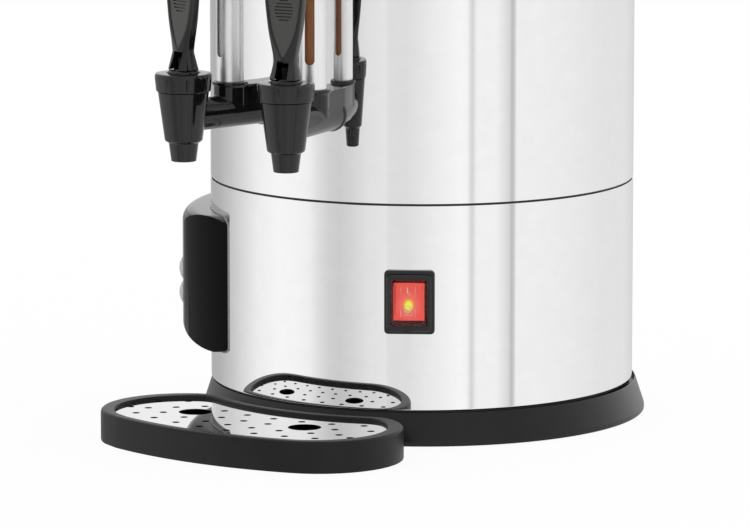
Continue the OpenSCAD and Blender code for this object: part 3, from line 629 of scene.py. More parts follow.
def lid():
    """Domed steel lid with a rolled flange and a spigot that drops inside the rim."""
    z = COLLAR_TOP + 0.3
    dome_r, rise = 119.5, 18
    sphere = (dome_r ** 2 + rise ** 2) / (2 * rise)
    edge = math.asin(dome_r / sphere)
    centre_z = z + rise - sphere

    def dome(r, start, end, steps=40):
        angles = [start + (end - start) * k / steps for k in range(steps + 1)]
        return [(r * math.sin(a), centre_z + r * math.cos(a)) for a in angles]

    hole = 2.6 / sphere
    outer = dome(sphere, hole, edge * 0.985)
    foot = outer[-1]
    profile = outer + fillet([
        (*foot, 0), (dome_r + 0.4, z + 1.2, 2.4), (128, z + 1.2, 0.6), (128, z, 0.5), (116.4, z, 0.2),
        (116.4, 472, 0.6), (115, 472, 0.6), (115, z + 0.6, 0.5), (dome_r - 4, z + 0.5, 0),
    ], 5)[1:] + dome(sphere - 1, edge * 0.96, hole)
    steel_lid = lathe("domed_lid", profile, STEEL, segments=256, closed=True)
    finish(steel_lid, "lid", "polished_steel", "lid")


def lid_knob():
    base = LID_TOP + 0.05
    knob = lathe("mushroom_knob", fillet([
        (2.55, base + 8, 0), (2.55, base, 0.3), (13, base, 0.5), (13, base + 2, 1.6),
        (9.3, base + 7, 4), (9.2, base + 12.5, 6), (20, base + 18.2, 3.2), (20, base + 27.5, 6.5),
        (0.01, base + 30, 30), (0, base + 30, 0),
    ], 8), GLOSS, segments=96)
    finish(knob, "lid", "gloss_black", "lid_knob")


# ---- drip tray

def kidney(inset, z, turned_in=0.0, steps=16):
    """Tray outline at one height: each end is a big outer corner run into a small inner one."""
    big, small = TRAY_CORNER
    outer_r, inner_r, apart = TRAY_OUT - big, TRAY_IN + small, big - small
    a = math.radians(TRAY_HALF_ANGLE - turned_in)
    b = a + math.acos((outer_r ** 2 + inner_r ** 2 - apart ** 2) / (2 * outer_r * inner_r))

    def polar(r, angle):
        return Vector((r * math.sin(angle), -r * math.cos(angle)))

    def corner(centre, r, start, end):
        turn = (end - start + math.pi) % (2 * math.pi) - math.pi
        for k in range(1, steps + 1):
            angle = start + turn * k / steps
            yield centre + Vector((r * math.cos(angle), r * math.sin(angle)))

    outer_centre, inner_centre = polar(outer_r, a), polar(inner_r, b)
    join = inner_centre - outer_centre
    directions = [a - math.pi / 2, math.atan2(join.y, join.x), b + math.pi / 2]
    end = list(corner(outer_centre, big - inset, *directions[:2]))
    end += corner(inner_centre, small - inset, *directions[1:])
    front = [polar(TRAY_OUT - inset, a * (k / steps - 1)) for k in range(2 * steps + 1)]
    back = [polar(TRAY_IN + inset, b * (1 - k / steps)) for k in range(1, 2 * steps)]
    mirrored = [Vector((-p.x, p.y)) for p in reversed(end)]
    return [turned((p.x, p.y, z), TRAY_TURN) for p in front + end + back + mirrored[:-1]]


def drip_tray():
    """Moulded tray: rounded rim, ledge for the plate and a shallow trough."""
    rim, top, seat = TRAY_RIM, TRAY_TOP, GRID_TOP - 1.1
    outside = fillet([
        (3, 0, 0), (0, 0, 0.5), (0, top, 2.0), (rim, top, 0.8), (rim, seat, 0.3), (rim + 3, seat, 0.4),
        (rim + 3, 2.2, 1.5), (rim + 6, 2.2, 0),
    ], 7)
    rings = []
    for inset, z in outside:
        share = max(0.0, min(1.0, (inset - 2) / (rim - 2))) if z > 1 else 0.0
        rings.append(kidney(inset, z, TRAY_END_RIM * share))
    tray = loft("tray_moulding", rings, MATTE)
    finish(tray, "tray", "matte_black", "drip_tray")


def drip_grid():
    """Perforated steel plate with two finger holes."""
    edge = TRAY_RIM + 0.35
    layers = ((0.2, -1.0), (0.0, -0.8), (0.0, -0.2), (0.2, 0.0))
    plate = loft("perforated_grid", [
        kidney(edge + back, GRID_TOP + z, TRAY_END_RIM) for back, z in layers
    ], PLATE_STEEL, smooth=30)
    drills = []

    def hole(r, at, angle, segments):
        x, y, _ = turned((0, -at, 0), angle + TRAY_TURN + HOLES_TURN)
        profile = [(0, GRID_TOP - 2), (r, GRID_TOP - 2), (r, GRID_TOP + 1), (0, GRID_TOP + 1)]
        drills.append(lathe("drill", profile, STEEL, (x, y), segments))

    for side in (LEFT, RIGHT):
        hole(10, 178, side * 13.6, 64)
    rows = [
        (162.6, [3.55, 10.5, 17.4, 24.5]), (178.6, [0, 5.7, 19.9, 27]),
        (194, [0, 5.2, 10.8, 16.9, 22.1]), (208.6, [2.8, 8.2, 13.8, 19.1]), (201.5, [24.6]),
    ]
    for at, angles in rows:
        for a in angles:
            for side in ((1,) if a == 0 else (-1, 1)):
                hole(2.35, at, side * a, 24)
    cut(plate, merge("drills", drills))
    shade(plate, 30)
    finish(plate, "grid", "polished_steel", "drip_grid")


# ---- moulded shapes

def moulded(name, parts, voxel, material, passes, keep):
    """Melts overlapping solids into one skin with soft inner corners."""
    obj = merge(name, parts)
    remesh = obj.modifiers.new("remesh", "REMESH")
    remesh.mode = "VOXEL"
    remesh.voxel_size = voxel * MM
    soften = obj.modifiers.new("soften", "SMOOTH")
    soften.factor = 0.5
    soften.iterations = passes
    thin = obj.modifiers.new("thin", "DECIMATE")
    thin.ratio = keep
    bake(obj)
    obj.data.materials.clear()
    obj.data.materials.append(material)
    shade(obj, 60)
    return obj


def lie_radial(obj, angle, z):
    """Lays a piece turned about Z along the radial direction at an angle and height."""
    obj.data.transform(spin(angle) @ Matrix.Translation((0, 0, z * MM)) @ spin(90, "X"))
    return obj


def at_tap(obj, side, r=TAP_R):
    """Moves a piece from the body's axis to a tap's axis, or to the same direction at r."""
    return turn_object(obj, side * TAP_ANGLE, (0, -r, 0))


# ---- taps

def tap_body(name, side):
    """Turned spout, shoulder and flared barrel."""
    body = lathe(name + "_tap_barrel", fillet([
        (6, 186, 0), (6, 172.7, 0.3), (7.5, 172.7, 0.5), (8.95, 183.7, 1.0), (11.3, 185.2, 1.6),
        (15.3, 214.6, 0.4), (13, 214.9, 0.1), (13, 221.5, 0), (10, 221.5, 0), (10, 188, 0),
        (6, 188, 0), (6, 186, 0),
    ], 5), GLOSS, segments=96, closed=True)
    finish(at_tap(body, side), "urn", "gloss_black", name + "_tap_body")


def tap_bonnet(name, side):
    """Screw-down bonnet with eight grip grooves and a collar round the stem."""
    groove_r, groove_at, groove_top, count = 1.2, 17.4, 223.4, 8
    groove_turn = math.radians(-90 + (14 if side == LEFT else 9))
    outside = fillet([
        (13.05, 215, 0), (16.3, 215, 0.4), (17.2, 223.8, 4), (16.8, 225.75, 0.7), (10.4, 225.9, 0.15),
        (10.0, 225.0, 0.1), (9.2, 225.0, 0.1), (9.2, 226.95, 0.3), (8.6, 227.35, 0.15),
        (6, 227.35, 0.1), (5.8, 228.15, 0.3), (3.58, 228.15, 0),
    ], 4)
    walls = []
    for (r0, z0), (r1, z1) in zip(outside, outside[1:]):
        parts = 12 if z1 - z0 > 3 else 1
        walls += [(r0 + (r1 - r0) * k / parts, z0 + (z1 - z0) * k / parts) for k in range(parts)]
    walls += [outside[-1], (3.58, 221.6), (13.05, 221.6)]
    half_offsets = (0, 1.0, 2.0, 2.8, 3.4, 3.75, 3.95, 4.1, 4.4, 5.5, 8, 12, 17)
    offsets = sorted({d * sign for d in half_offsets for sign in (-1, 1)} | {22.5})
    angles = [math.radians(360 / count * i + d) for i in range(count) for d in offsets]
    rings = []
    for r, z in walls:
        ring = []
        for i, a in enumerate(angles):
            across = groove_at * math.sin(math.radians(offsets[i % len(offsets)]))
            over = max(0.0, z - groove_top + groove_r)
            inside = groove_r ** 2 - across ** 2 - over ** 2
            radius = r
            if inside > 0 and r > 15.5:
                radius = min(r, groove_at - math.sqrt(inside))
            ring.append((radius * math.cos(a + groove_turn), radius * math.sin(a + groove_turn), z))
        rings.append(ring)
    bonnet = loft(name + "_tap_cap", rings, GLOSS, closed=True, smooth=32)
    finish(at_tap(bonnet, side), "urn", "gloss_black", name + "_tap_bonnet")


def skirt_ring(r, z, neck):
    """Circle whose points lie in the directions of the neck's points."""
    angles = [math.atan2(y * 1.33, x) for x, y, _ in neck]
    return [(r * math.cos(a), r * math.sin(a), z) for a in angles]


def paddle_ring(z, width, thick, face, edge, soft):
    """Section with a flat front and back face, two thin sides and chamfers between them."""
    f, w, t, e = face / 2, width / 2, thick / 2, edge / 2
    corners = [
        (0, -t, 0), (f, -t, soft), (w, -e, soft), (w, e, soft), (f, t, soft),
        (-f, t, soft), (-w, e, soft), (-w, -e, soft), (-f, -t, soft), (0, -t, 0),
    ]
    return [(x, y, z) for x, y in fillet(corners, 3)[:-1]]


# Lever sections above the neck: height, width, thickness, face width, side thickness, edge radius
PADDLE = [
    (238.6, 13.3, 9.8, 1.2, 5.8, 0.5), (241, 13.9, 9.6, 2.4, 5.8, 0.5), (244, 15.0, 8.9, 6.2, 5.7, 0.5),
    (248, 16.7, 8.1, 10.6, 5.7, 0.5), (253, 18.8, 7.3, 15.2, 5.7, 0.4), (258, 20.6, 6.9, 18.3, 5.7, 0.4),
    (265.2, 22.5, 6.5, 21.0, 5.6, 0.3), (273, 24.2, 6.3, 23.2, 5.6, 0.3), (281, 25.0, 6.2, 24.2, 5.4, 0.3),
    (287, 25.0, 6.1, 24.2, 5.2, 0.3), (291.5, 24.1, 5.8, 23.0, 4.8, 0.4),
    (294, 22.2, 5.2, 20.4, 3.8, 0.4), (295.4, 18.8, 4.0, 17.2, 2.6, 0.3), (295.95, 13.4, 2.4, 12.4, 1.4, 0.2),
]


def paddle_at(z, column):
    """Value of a paddle column at a height."""
    for low, high in zip(PADDLE, PADDLE[1:]):
        if low[0] <= z <= high[0]:
            return low[column] + (high[column] - low[column]) * (z - low[0]) / (high[0] - low[0])
    return PADDLE[-1][column]


def tap_lever(name, side):
    """Faceted paddle with a V-shaped front face and grip slits, on a cone slotted for the stem."""
    sections = [paddle_ring(*row) for row in PADDLE]
    foot = ((9.1, 227.5), (9.4, 227.62), (9.5, 227.9), (9.46, 228.4))
    skirt = [skirt_ring(r, z, sections[0]) for r, z in foot]
    lever = loft(name + "_paddle", skirt + sections, GLOSS)

    # The sunk V face is cut in a lighter grey than the gloss lever: a painted reflection of the bright
    # surroundings
    panel = []
    heights = (241.4, 244, 248, 253, 258, 265, 273, 282)
    for z, sign in [(z, 1) for z in heights] + [(z, -1) for z in reversed(heights)]:
        panel.append((sign * (paddle_at(z, 3) / 2 - min(1.1, 0.8 + (z - 241.4) * 0.03)), z))
    ends = len(heights)
    panel = panel[:ends] + [(9.6, 289.4), (0, 290.6), (-9.6, 289.4)] + panel[ends:]
    floor = [(x, -(paddle_at(z, 2) / 2 - min(0.8, 0.3 + (z - 241.4) * 0.05)), z) for x, z in panel]
    mouth = [(x, -14, z) for x, z in panel]
    sunk = loft("sunk", [floor, mouth], PANEL_PAINTED_SHEEN)

    slits = []
    for i in range(SLITS):
        z = SLIT_FOOT + SLIT_PITCH * i
        half = 6.1 * math.sqrt(1 - ((z - 268.9) / 6.6) ** 2)
        deep = paddle_at(z, 2) / 2 - 1.5
        slits.append(prism("slit", round_outline(2 * half, 0.8, 0.39, (0, z), 4), (deep, deep + 9)))

    way = []
    for x in (-4, 4):
        arc = [math.pi * k / 24 for k in range(13)]
        roof = [(x, 4.1 * math.cos(b), PIN_Z + 4.1 * math.sin(b)) for b in arc]
        way.append([(x, 4.1, 226)] + roof + [(x, 0, 238.9), (x, -20, 238.9), (x, -20, 226)])
    slot = loft("slot", way, GLOSS)
    under = lathe("under", [(0, 226), (8.2, 226), (8.2, 228.6), (0, 228.6)], GLOSS, segments=64)
    cut(lever, sunk, merge("slits", slits), slot, under, paint=True)
    shade(lever, 28)
    finish(at_tap(lever, side), name + "_lever", "gloss_black", name + "_tap_lever")


def valve_stem(name, side):
    """Stem inside the lever's slot, and the short pin through both, in a weakly reflecting black: painted
    shade on steel parts.
    """
    foot = node_box(name + "_tap_stem")[0][2]
    stem = lathe(name + "_stem", fillet([
        (0, foot, 0), (3.5, foot, 0.3), (3.5, 235.6, 2.2), (0, 236.2, 0)
    ], 5), PAINTED_SHADE_BLACK, segments=48)
    finish(at_tap(stem, side), name + "_valve", "sheet_steel", name + "_tap_stem")
    pin = lathe(name + "_pin", fillet([
        (0, -5.6, 0), (1.5, -5.6, 0.3), (1.5, 5.6, 0.3), (0, 5.6, 0)
    ], 3), PAINTED_SHADE_BLACK, segments=32)
    pin.data.transform(Matrix.Translation((0, 0, PIN_Z * MM)) @ spin(90, "Y"))
    finish(at_tap(pin, side), name + "_valve", "polished_steel", name + "_lever_pin")


# ---- gauges

def gauge_fitting(name, side):
    """Moulded supply pipe: round underside, straight flanks, wall flange and gauge socket."""
    flange = lathe("flange", fillet([
        (0, 129.8, 0), (10.6, 129.8, 0), (10.6, 132.5, 0.6), (9.6, 132.6, 0.2), (0, 132.6, 0)
    ], 4), GLOSS, segments=64)
    pipe = lathe("pipe", [(0, 120), (9.8, 120), (9.8, 184), (0, 184)], GLOSS, segments=96)
    for part in (flange, pipe):
        part.data.transform(Matrix.Translation((0, 0, PIPE_Z * MM)) @ spin(90, "X"))
    flanks = prism("flanks", round_outline(18.4, 16.2, 0.8, (0, PIPE_Z + 8.1), 3), (129.8, GAUGE_R))
    tee = lathe("tee", fillet([
        (0, 199.8, 0), (9.8, 199.8, 0), (9.8, 215.4, 0.3), (10.8, 215.7, 0.4), (10.8, 217.8, 0.4),
        (8.45, 217.8, 0.3), (8.45, 212, 0), (0, 212, 0),
    ], 4), GLOSS, (0, -GAUGE_R), segments=64)
    fitting = moulded(name + "_supply_pipe", [flange, pipe, flanks, tee], 0.42, GLOSS, 6, 0.25)
    turn_object(fitting, side * TAP_ANGLE)
    finish(fitting, "urn", "gloss_black", name + "_gauge_fitting")


def gauge_shield(name, side):
    """Satin tube round the glass, slotted in front and behind."""
    z0, z1 = SHIELD_FOOT, SHIELD_TOP
    tube = lathe(name + "_slotted_tube", fillet([
        (7.5, z0 + 50, 0), (7.5, z0, 0.2), (8.3, z0, 0.3), (8.3, z1, 0.3), (7.5, z1, 0.2),
        (7.5, z0 + 50, 0),
    ], 3), SATIN_STEEL, segments=128, closed=True)
    outline = round_outline(6, SLOT_TOP - SLOT_FOOT, 2.999, (0, (SLOT_TOP + SLOT_FOOT) / 2), 12)
    cut(tube, prism("slot", outline, (-12, 12)))
    shade(tube, 30)
    turn_object(tube, SLOT_FACING[side] - side * TAP_ANGLE)
    at_tap(tube, side, GAUGE_R)
    cx, cy, _ = turned((0, -GAUGE_R, 0), side * TAP_ANGLE)
    true_round(tube, (cx, cy), (8.3, 7.5))
    finish(tube, "urn", "polished_steel", name + "_gauge_shield")


def gauge_glass(name, side, level=None):
    glass = lathe(name + "_sight_glass", fillet([
        (5.6, 300, 0), (5.6, 206, 0.3), (6.8, 206, 0.4), (6.8, 446, 0.4), (5.6, 446, 0.3), (5.6, 300, 0)
    ], 3), GLASS if level else EMPTY_GLASS, segments=64, closed=True)
    finish(at_tap(glass, side, GAUGE_R), "urn", "glass", name + "_gauge_glass")
    if level:
        column = lathe(name + "_coffee", fillet([
            (0, 206.2, 0), (5.5, 206.2, 0.3), (5.5, level + 0.6, 0.1), (4.4, level, 1), (0, level - 0.2, 0)
        ], 4), COFFEE_PAINTED_GLOW, segments=64)
        finish(at_tap(column, side, GAUGE_R), "urn", "glass")


def gauge_seals():
    """Two soft rings round each glass, in its socket and in its cap."""
    low, high = height_span("gauge_seals")
    for name, side in SIDES.items():
        for end, z in (("lower", low), ("upper", high - 3)):
            seal = lathe(name + "_" + end + "_seal", fillet([
                (6.85, z + 1, 0), (6.85, z, 0.4), (8.3, z, 0.8), (8.3, z + 3, 0.8), (6.85, z + 3, 0.4),
                (6.85, z + 1, 0)
            ], 4), SEAL, segments=48, closed=True)
            nodes = ["gauge_seals"] if side == LEFT and z == low else []
            finish(at_tap(seal, side, GAUGE_R), "urn", "silicone", *nodes)


def gauge_cap(name, side):
    """Cap over the glass with a stay to the wall."""
    cap = lathe("cap", fillet([
        (0, 452.5, 0), (9.4, 452.5, 1.2), (9.6, 451.2, 0.4), (10.8, 450.9, 0.8), (10.8, 440.1, 0.5),
        (8.5, 440.1, 0.3), (8.5, 446, 0), (0, 446, 0)
    ], 4), GLOSS, (0, -GAUGE_R), segments=64)
    stay = prism("stay", round_outline(10, 8, 1.2, (0, 445), 4), (129.9, 158))
    piece = moulded(name + "_gauge_top", [cap, stay], 0.42, GLOSS, 8, 0.25)
    turn_object(piece, side * TAP_ANGLE)
    finish(piece, "urn", "gloss_black", "gauge_caps")


# ---- switch

def framed(name, sections, material, closed=False):
    """Piece of the switch: round-cornered rectangles (width, height, corner, distance from the axis)."""
    rings = [[(x, -d, h) for x, h in round_outline(w, t, r, steps=6)] for w, t, r, d in sections]
    return turn_object(loft(name, rings, material, closed=closed), SWITCH_ANGLE, (0, 0, SWITCH_Z))


def switch():
    """Rocker switch: frame, clear hood, red rocker lit by its lamp, and its I and O marks."""
    frame_piece = framed("switch_frame", [
        (30.4, 38.6, 2.4, 129.6), (30.4, 38.6, 2.4, 132.9), (30.2, 38.4, 2.3, 133.2),
        (29.8, 38.0, 2.1, 133.35), (27.5, 34.6, 2.4, 133.4), (27.2, 34.3, 2.3, 133.6),
        (26.9, 34.1, 2.2, 136.3), (26.7, 33.9, 2.1, 136.7), (26.2, 33.4, 2.0, 137.0),
        (25.4, 32.6, 1.9, 137.1), (22.4, 28.5, 1.8, 137.2),
        (21.7, 27.8, 1.6, 137.0), (21.4, 27.5, 1.5, 136.5), (21.4, 27.5, 1.5, 129.6),
    ], GLOSS, closed=True)
    finish(frame_piece, "urn", "gloss_black", "switch_bezel")

    hood = framed("switch_cover", [
        (1, 5, 0.4, 138.7), (18.6, 24.7, 1.4, 138.7), (19.4, 25.5, 1.2, 138.3), (19.6, 25.7, 1.0, 137.6),
        (19.6, 25.7, 1.0, 131.7), (21.2, 27.3, 1.4, 131.7), (21.2, 27.3, 1.4, 137.7),
        (20.9, 27.0, 1.6, 138.4), (20.0, 26.1, 2.0, 138.95), (18.4, 24.5, 2.0, 139.35),
        (16.8, 22.9, 1.8, 139.4), (16.2, 22.3, 1.6, 139.1), (15.4, 21.5, 1.4, 138.98), (1, 5, 0.4, 138.98),
    ], HOOD)
    finish(hood, "urn", "clear_hood", "switch_hood")

    # The seat under the hood's edges is a darker copy of the rocker's red: painted shade
    seat = framed("hood_seat", [
        (21.2, 27.3, 1.4, 130.9), (21.2, 27.3, 1.4, 131.6),
        (18.8, 24.3, 0.8, 131.6), (18.8, 24.3, 0.8, 130.9),
    ], SEAT_PAINTED_SHADE, closed=True)
    finish(seat, "urn", "rocker_red")

    side_view = fillet([
        (4, 0, 0), (4, -4, 1), (-4, -12, 0.5), (-9, -12, 1.0), (-7.8, 0, 12), (-9, 12, 1.0), (-4, 12, 0.5),
        (4, 4, 1), (4, 0, 0)
    ], 6)[:-1]
    rings = []
    for x, inset in ((-9.3, 0.7), (-9.1, 0.25), (-8.6, 0), (8.6, 0), (9.1, 0.25), (9.3, 0.7)):
        rings.append([(x, y * (1 - inset / 10), z * (1 - inset / 14)) for y, z in side_view])
    rocker = loft("lit_rocker", rings, ROCKER, smooth=40)
    pivot = Matrix.Translation((0, -ROCKER_PIVOT * MM, SWITCH_Z * MM))
    stand = spin(SWITCH_ANGLE) @ pivot @ spin(ROCKER_TILT, "X")
    rocker.data.transform(stand)
    finish(rocker, "rocker", "rocker_red", "switch_rocker")

    def printed(name, outline):
        """Thin raised mark that follows the hollow face of one half of the rocker."""
        low = sum(z for _, z in outline) / len(outline) < 0
        mark = prism(name, outline, (7.75, 8.0), MARK)
        mark.data.transform(stand @ spin(-FACE_LEAN if low else FACE_LEAN, "X"))
        finish(mark, "rocker", "pale_plastic")

    ring = lathe("mark_off", fillet([
        (1.65, 7.75, 0), (2.15, 7.75, 0), (2.15, 8.0, 0.05), (1.65, 8.0, 0.05), (1.65, 7.75, 0)
    ], 2), MARK, segments=40, closed=True)
    ring.data.transform(
        stand @ spin(-FACE_LEAN, "X") @ Matrix.Translation((-0.9 * MM, 0, -5.9 * MM)) @ spin(90, "X")
    )
    finish(ring, "rocker", "pale_plastic")
    printed("mark_on", round_outline(0.6, 3.7, 0.25, (-1.1, 7.3), 4))
    for x in (-5.1, 3.8):
        for z in (6.8, -8.2):
            printed("rib", round_outline(0.16, 5.2, 0.07, (x, z), 2))
    printed("rib", round_outline(5.4, 0.2, 0.09, (-0.6, -9.3), 2))


# ---- control housing

def housing_block(margin):
    """Rounded block whose two ends curve up from the wall, smaller all round by a margin."""
    r = PANEL_R - margin
    z0, z1 = PANEL_FOOT + margin, PANEL_HEAD - margin
    block = lathe("block", fillet([
        (100, 90, 0), (100, z0, 0), (r, z0, 13), (r, z1, 8), (100, z1, 0), (100, 90, 0)
    ], 12), GLOSS, segments=360, closed=True)
    half = 66 - margin
    front = fillet([(0, z0, 0), (half, z0, 11), (half, z1, 13), (0, z1, 0)], 12)
    slab = prism("slab", front + [(-x, z) for x, z in reversed(front[1:-1])], (50, 160))
    plan = fillet([(0, -154.9, 0), (49.9, -141.1, 73), (73.5, -94.8, 0)], 32)
    plan += [(-x, y) for x, y in reversed(plan[1:])]
    ends = loft("ends", [[(x, y + margin * 1.39, z) for x, y in plan] for z in (z0 - 1, z1 + 1)], GLOSS)
    cut(block, slab, ends, operation="INTERSECT")
    return block


def coat(obj, name, *materials):
    """Names a cut piece and gives it new materials, the first one all over."""
    obj.name = name
    obj.data.materials.clear()
    for material in materials:
        obj.data.materials.append(material)
    shade(obj, 30)


def wall_core():
    """Cylinder that fills the body up to just past its wall."""
    r = BODY_R + 0.05
    return lathe("core", [(0, 20), (r, 20), (r, 150), (0, 150)], STEEL, segments=360)


def housing_reflection_band():
    """Thin grey band where the housing meets the wall: a painted reflection of the housing's rounded edge."""
    lip = housing_block(-0.6)
    turn_object(lip, PANEL_ANGLE)
    r, past = BODY_R + 0.5, BODY_R + 40
    far = lathe("far", [(r, 20), (past, 20), (past, 150), (r, 150), (r, 20)], STEEL, segments=360)
    cut(lip, wall_core(), far, turn_object(housing_block(0.4), PANEL_ANGLE))
    coat(lip, "housing_painted_reflection", PAINTED_REFLECTION_GREY)
    finish(lip, "urn", "gloss_black")


def control_housing():
    """Gloss housing on the left of the lower sleeve, hollow behind its face; all but its top faces take a
    weakly reflecting black, which is painted shade.
    """
    block = housing_block(0)
    bevel = block.modifiers.new("bevel", "BEVEL")
    bevel.width = 0.7 * MM
    bevel.segments = 3
    bevel.limit_method = "ANGLE"
    bevel.angle_limit = math.radians(40)
    bake(block)
    cut(block, housing_block(2.2))
    turn_object(block, PANEL_ANGLE)
    holes = []
    for z in BUTTON_Z:
        hole = lathe("hole", [(0, 141.5), (6.6, 141.5), (6.6, 156), (0, 156)], GLOSS, segments=48)
        holes.append(lie_radial(hole, BUTTON_ANGLE, z))
    cut(block, wall_core(), *holes)
    coat(block, "panel_housing", PAINTED_SHADE_BLACK, GLOSS)
    # Top faces gloss black, all others the weakly reflecting black: painted shade on one gloss housing
    for polygon in block.data.polygons:
        polygon.material_index = 1 if polygon.normal.z > 0.8 else 0
    finish(block, "urn", "gloss_black", "control_housing")


def buttons():
    dome = [(6.4 * k / 8, 138.7 + math.sqrt(144 - (6.4 * k / 8) ** 2)) for k in range(8, -1, -1)]
    for name, z in zip(("upper", "lower"), BUTTON_Z):
        cap = lathe(name + "_push_cap", fillet([
            (0, 141.9, 0), (2.2, 141.9, 0.2), (2.2, 143.7, 0), (7.3, 143.7, 0.1), (7.3, 144.9, 0.1),
            (6.4, 144.9, 0), (6.4, 148.2, 0)
        ], 3) + dome, BUTTON, segments=64)
        lie_radial(cap, BUTTON_ANGLE, z)
        finish(cap, name + "_button", "button_grey", name + "_button")


# ---- carry handles

def carry_handle(name, side):
    """Bowed grip on two legs with pads against the wall."""
    reach = math.radians(24)
    around = [2 * math.pi * j / 32 for j in range(32)]
    rings = []
    for k in range(33):
        a = -reach + 2 * reach * k / 32
        ends = max(0.0, (abs(a) - math.radians(21)) / math.radians(3))
        r = 9 * math.sqrt(max(0.0, 1 - ends ** 2 * 0.85))
        tube = [(HANDLE_OUT + r * math.cos(b), HANDLE_Z + r * math.sin(b)) for b in around]
        rings.append([(out * math.sin(a), -out * math.cos(a), z) for out, z in tube])
    parts = [loft("grip", rings, GLOSS)]
    for way in (-1, 1):
        leg = lathe("leg", fillet([
            (0, 129.6, 0), (14, 129.6, 0), (14, 134.2, 1.6), (8.2, 136.5, 3.5), (7.5, 150, 10),
            (7.5, HANDLE_OUT, 0), (0, HANDLE_OUT, 0)
        ], 5), GLOSS, segments=48)
        parts.append(lie_radial(leg, way * 20, HANDLE_Z))
    handle = moulded(name + "_grip", parts, 0.9, GLOSS, 6, 0.3)
    turn_object(handle, side * 90)
    finish(handle, "urn", "gloss_black", name + "_carry_handle")


# ---- places and sizes

SKIN = 0.8
PIPE_Z, PIN_Z = 199.8, 233.2
HANDLE_OUT, HANDLE_Z = 168, 415
SWITCH_ANGLE, SWITCH_Z, ROCKER_TILT, ROCKER_PIVOT = 33.1, 87.6, -8, 126
INLET_Z = 62
PANEL_ANGLE, PANEL_R, PANEL_FOOT, PANEL_HEAD = -57, 148.5, 42.5, 126.8
BUTTON_ANGLE, BUTTON_Z = -50, (89, 73.7)
COLLAR_TOP, LID_TOP = 483, 501.3
TRAY_IN, TRAY_OUT, TRAY_HALF_ANGLE, TRAY_TURN = 141, 231.4, 16.6, 0.2
TRAY_CORNER, TRAY_RIM, TRAY_END_RIM = (50, 22), 6.3, 1.1
TRAY_TOP, GRID_TOP, HOLES_TURN = 19.2, 17.2, -0.6
SLOT_FOOT, SLOT_TOP = 232.85, 426.0
SLOT_FACING = {LEFT: -8, RIGHT: 24}
SLITS, SLIT_FOOT, SLIT_PITCH = 7, 263.2, 1.93
# Where the lamp glows on the rocker's face, and where its reflection is painted as a glint
LAMP_AT, PAINTED_GLINT_AT = (-0.4, -1.7), (0.07, 5.13)
FACE_LEAN = math.degrees(math.atan2(1.2, 11.5))
FLOOR_GLOW = 0.93

# ---- finishes

TALL, FLAT = (1, 1, 0.1), (1, 1, 6)  # grains drawn out upwards, or pressed flat
# Mirror-polished sheet with a faint haze
STEEL = surface("polished_steel", (grey(0.905), grey(0.93), 9), (0.010, 0.022, 9), Metallic=1.0)
# The same, duller, for the drip plate
PLATE_STEEL = surface("plate_steel", (grey(0.77), grey(0.795), 9), (0.010, 0.022, 9), Metallic=1.0)
# Drawn tube with a soft satin finish
SATIN_STEEL = surface("satin_steel", (grey(0.90), grey(0.94), 1.5, 3, TALL),
                      (0.36, 0.44, 1.5, 3, TALL), Metallic=1.0)
# Mill-finish sheet and plated fasteners
surface("sheet_steel", ((0.50, 0.51, 0.52), (0.66, 0.67, 0.68), 1.2, 4, FLAT),
        (0.22, 0.36, 1.2, 4, FLAT), (0.02, 0.3, 1.2, 4, FLAT), Metallic=1.0)
surface("brass", ((0.62, 0.44, 0.16), (0.78, 0.58, 0.25), 0.8, 3, (1, 1, 5)),
        (0.2, 0.34, 0.8, 3, (1, 1, 5)), Metallic=1.0)
# Gloss moulded plastic with a faint ripple and hazy patches
GLOSS = surface("gloss_black", ((0.005, 0.005, 0.0052), (0.0075, 0.0075, 0.0078), 2.5, 5),
                (0.05, 0.10, 2.5, 5), (0.03, 0.4, 7), IOR=1.47)
# Black with weak reflections, bright only along its grazing edges: painted shade on the housing's sides and
# on the steel valve stems and pins
PAINTED_SHADE_BLACK = surface("deep_black", (grey(0.001), grey(0.002), 4, 4),
               (0.08, 0.13, 4, 4), (0.03, 0.3, 12), IOR=1.17)
# Smooth plastic with an even sheen
SATIN = surface("satin_black", (grey(0.003), grey(0.005), 20),
                (0.26, 0.34, 0.8, 3), (0.02, 0.3, 0.8, 3), IOR=1.40)
# Fine spark-eroded grain
MATTE = surface("matte_black", ((0.0035, 0.0035, 0.0036), (0.006, 0.006, 0.0062), 18),
                (0.34, 0.46, 0.55, 4), (0.04, 0.5, 0.55, 4), IOR=1.36)
# Rubber
surface("rubber_black", (grey(0.012), grey(0.022), 0.9, 3),
        (0.62, 0.8, 0.9, 3), (0.05, 0.5, 0.9, 3), IOR=1.5)
# Drawn gauge tube
GLASS = surface("clear_glass", rough=(0.01, 0.035, 4, 2, TALL),
                Base_Color=(0.93, 0.94, 0.94), Transmission_Weight=1.0, IOR=1.12)
# Milky gauge tube, for the empty one
EMPTY_GLASS = surface("empty_glass", (grey(0.66), grey(0.72), 4, 2, TALL), (0.15, 0.25, 4, 2, TALL),
                      Transmission_Weight=0.25, IOR=1.25)
# Soft clear vinyl over the rocker
HOOD = surface("clear_hood", rough=(0.02, 0.06, 3, 3), relief=(0.03, 0.2, 3, 3),
               Base_Color=(1.0, 0.97, 0.96), Transmission_Weight=1.0, IOR=1.2)
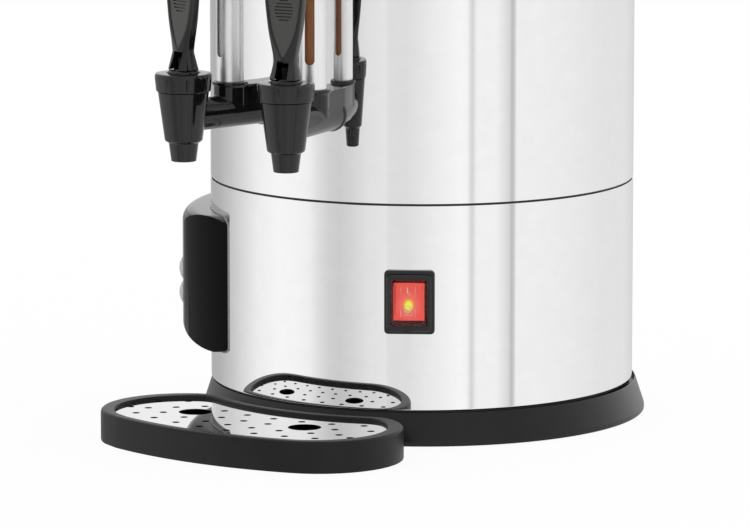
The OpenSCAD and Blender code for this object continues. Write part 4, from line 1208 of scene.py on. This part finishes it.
# Coffee with slow changes of strength, its base colour lifted and given a faint emission: painted backlight
# through the glass
COFFEE_PAINTED_GLOW = surface("coffee", ((0.30, 0.12, 0.050), (0.38, 0.155, 0.068), 9, 3, (1, 1, 0.25)),
                 IOR=1.34, Roughness=0.18, Emission_Color=(0.5, 0.2, 0.08), Emission_Strength=0.10)
# Translucent sealing rings
SEAL = surface("silicone", ((0.70, 0.67, 0.60), (0.80, 0.77, 0.70), 3),
               Subsurface_Weight=0.15, Roughness=0.45)
# Needled glass-fibre jacket
surface("felt", ((0.50, 0.45, 0.33), (0.82, 0.77, 0.62), 0.8, 8),
        relief=(0.6, 0.9, 0.8, 8), Roughness=0.95)
# Plain moulded and enamelled parts, and below them three colours of painted light
plastic("heater_metal", (0.16, 0.15, 0.14), (0.26, 0.25, 0.24), 0.35)
plastic("phenolic", (0.014, 0.012, 0.011), (0.026, 0.022, 0.020), 0.5)
plastic("ceramic", (0.66, 0.64, 0.58), (0.76, 0.74, 0.69), 0.4)
plastic("circuit_green", (0.012, 0.085, 0.035), (0.020, 0.13, 0.055), 0.3, 3)
plastic("wire_red", (0.42, 0.025, 0.02), (0.55, 0.04, 0.03), 0.4)
MARK = plastic("pale_plastic", (0.72, 0.72, 0.69), (0.80, 0.80, 0.78), 0.35)
BUTTON = plastic("button_grey", (0.50, 0.51, 0.52), (0.58, 0.59, 0.60), 0.28)
# Lighter grey for the lever's sunk V face: a painted reflection on the gloss black
PANEL_PAINTED_SHEEN = plastic("panel_face", (0.046, 0.046, 0.043), (0.054, 0.054, 0.050), 0.35)
# Darker copy of the rocker's red for the hood seat: painted shade
SEAT_PAINTED_SHADE = plastic("seat_red", (0.10, 0.008, 0.006), (0.15, 0.012, 0.008), 0.3)
# Grey for the band at the housing's foot: a painted reflection on gloss black
PAINTED_REFLECTION_GREY = plastic("edging", grey(0.26), grey(0.32), 0.3)
ROCKER = lit_red()

# ---- assembly

make_camera()
make_world()
make_floor()
lower_shell()
upper_shell()
base_ring()
top_collar()
lid()
lid_knob()
drip_tray()
drip_grid()
for side_name, way in SIDES.items():
    tap_body(side_name, way)
    tap_bonnet(side_name, way)
    tap_lever(side_name, way)
    valve_stem(side_name, way)
    gauge_fitting(side_name, way)
    gauge_shield(side_name, way)
    gauge_glass(side_name, way, 396 if way == RIGHT else None)
    gauge_cap(side_name, way)
    carry_handle(side_name, way)
gauge_seals()
switch()
control_housing()
housing_reflection_band()
buttons()

bpy.context.scene.view_settings.view_transform = "Standard"
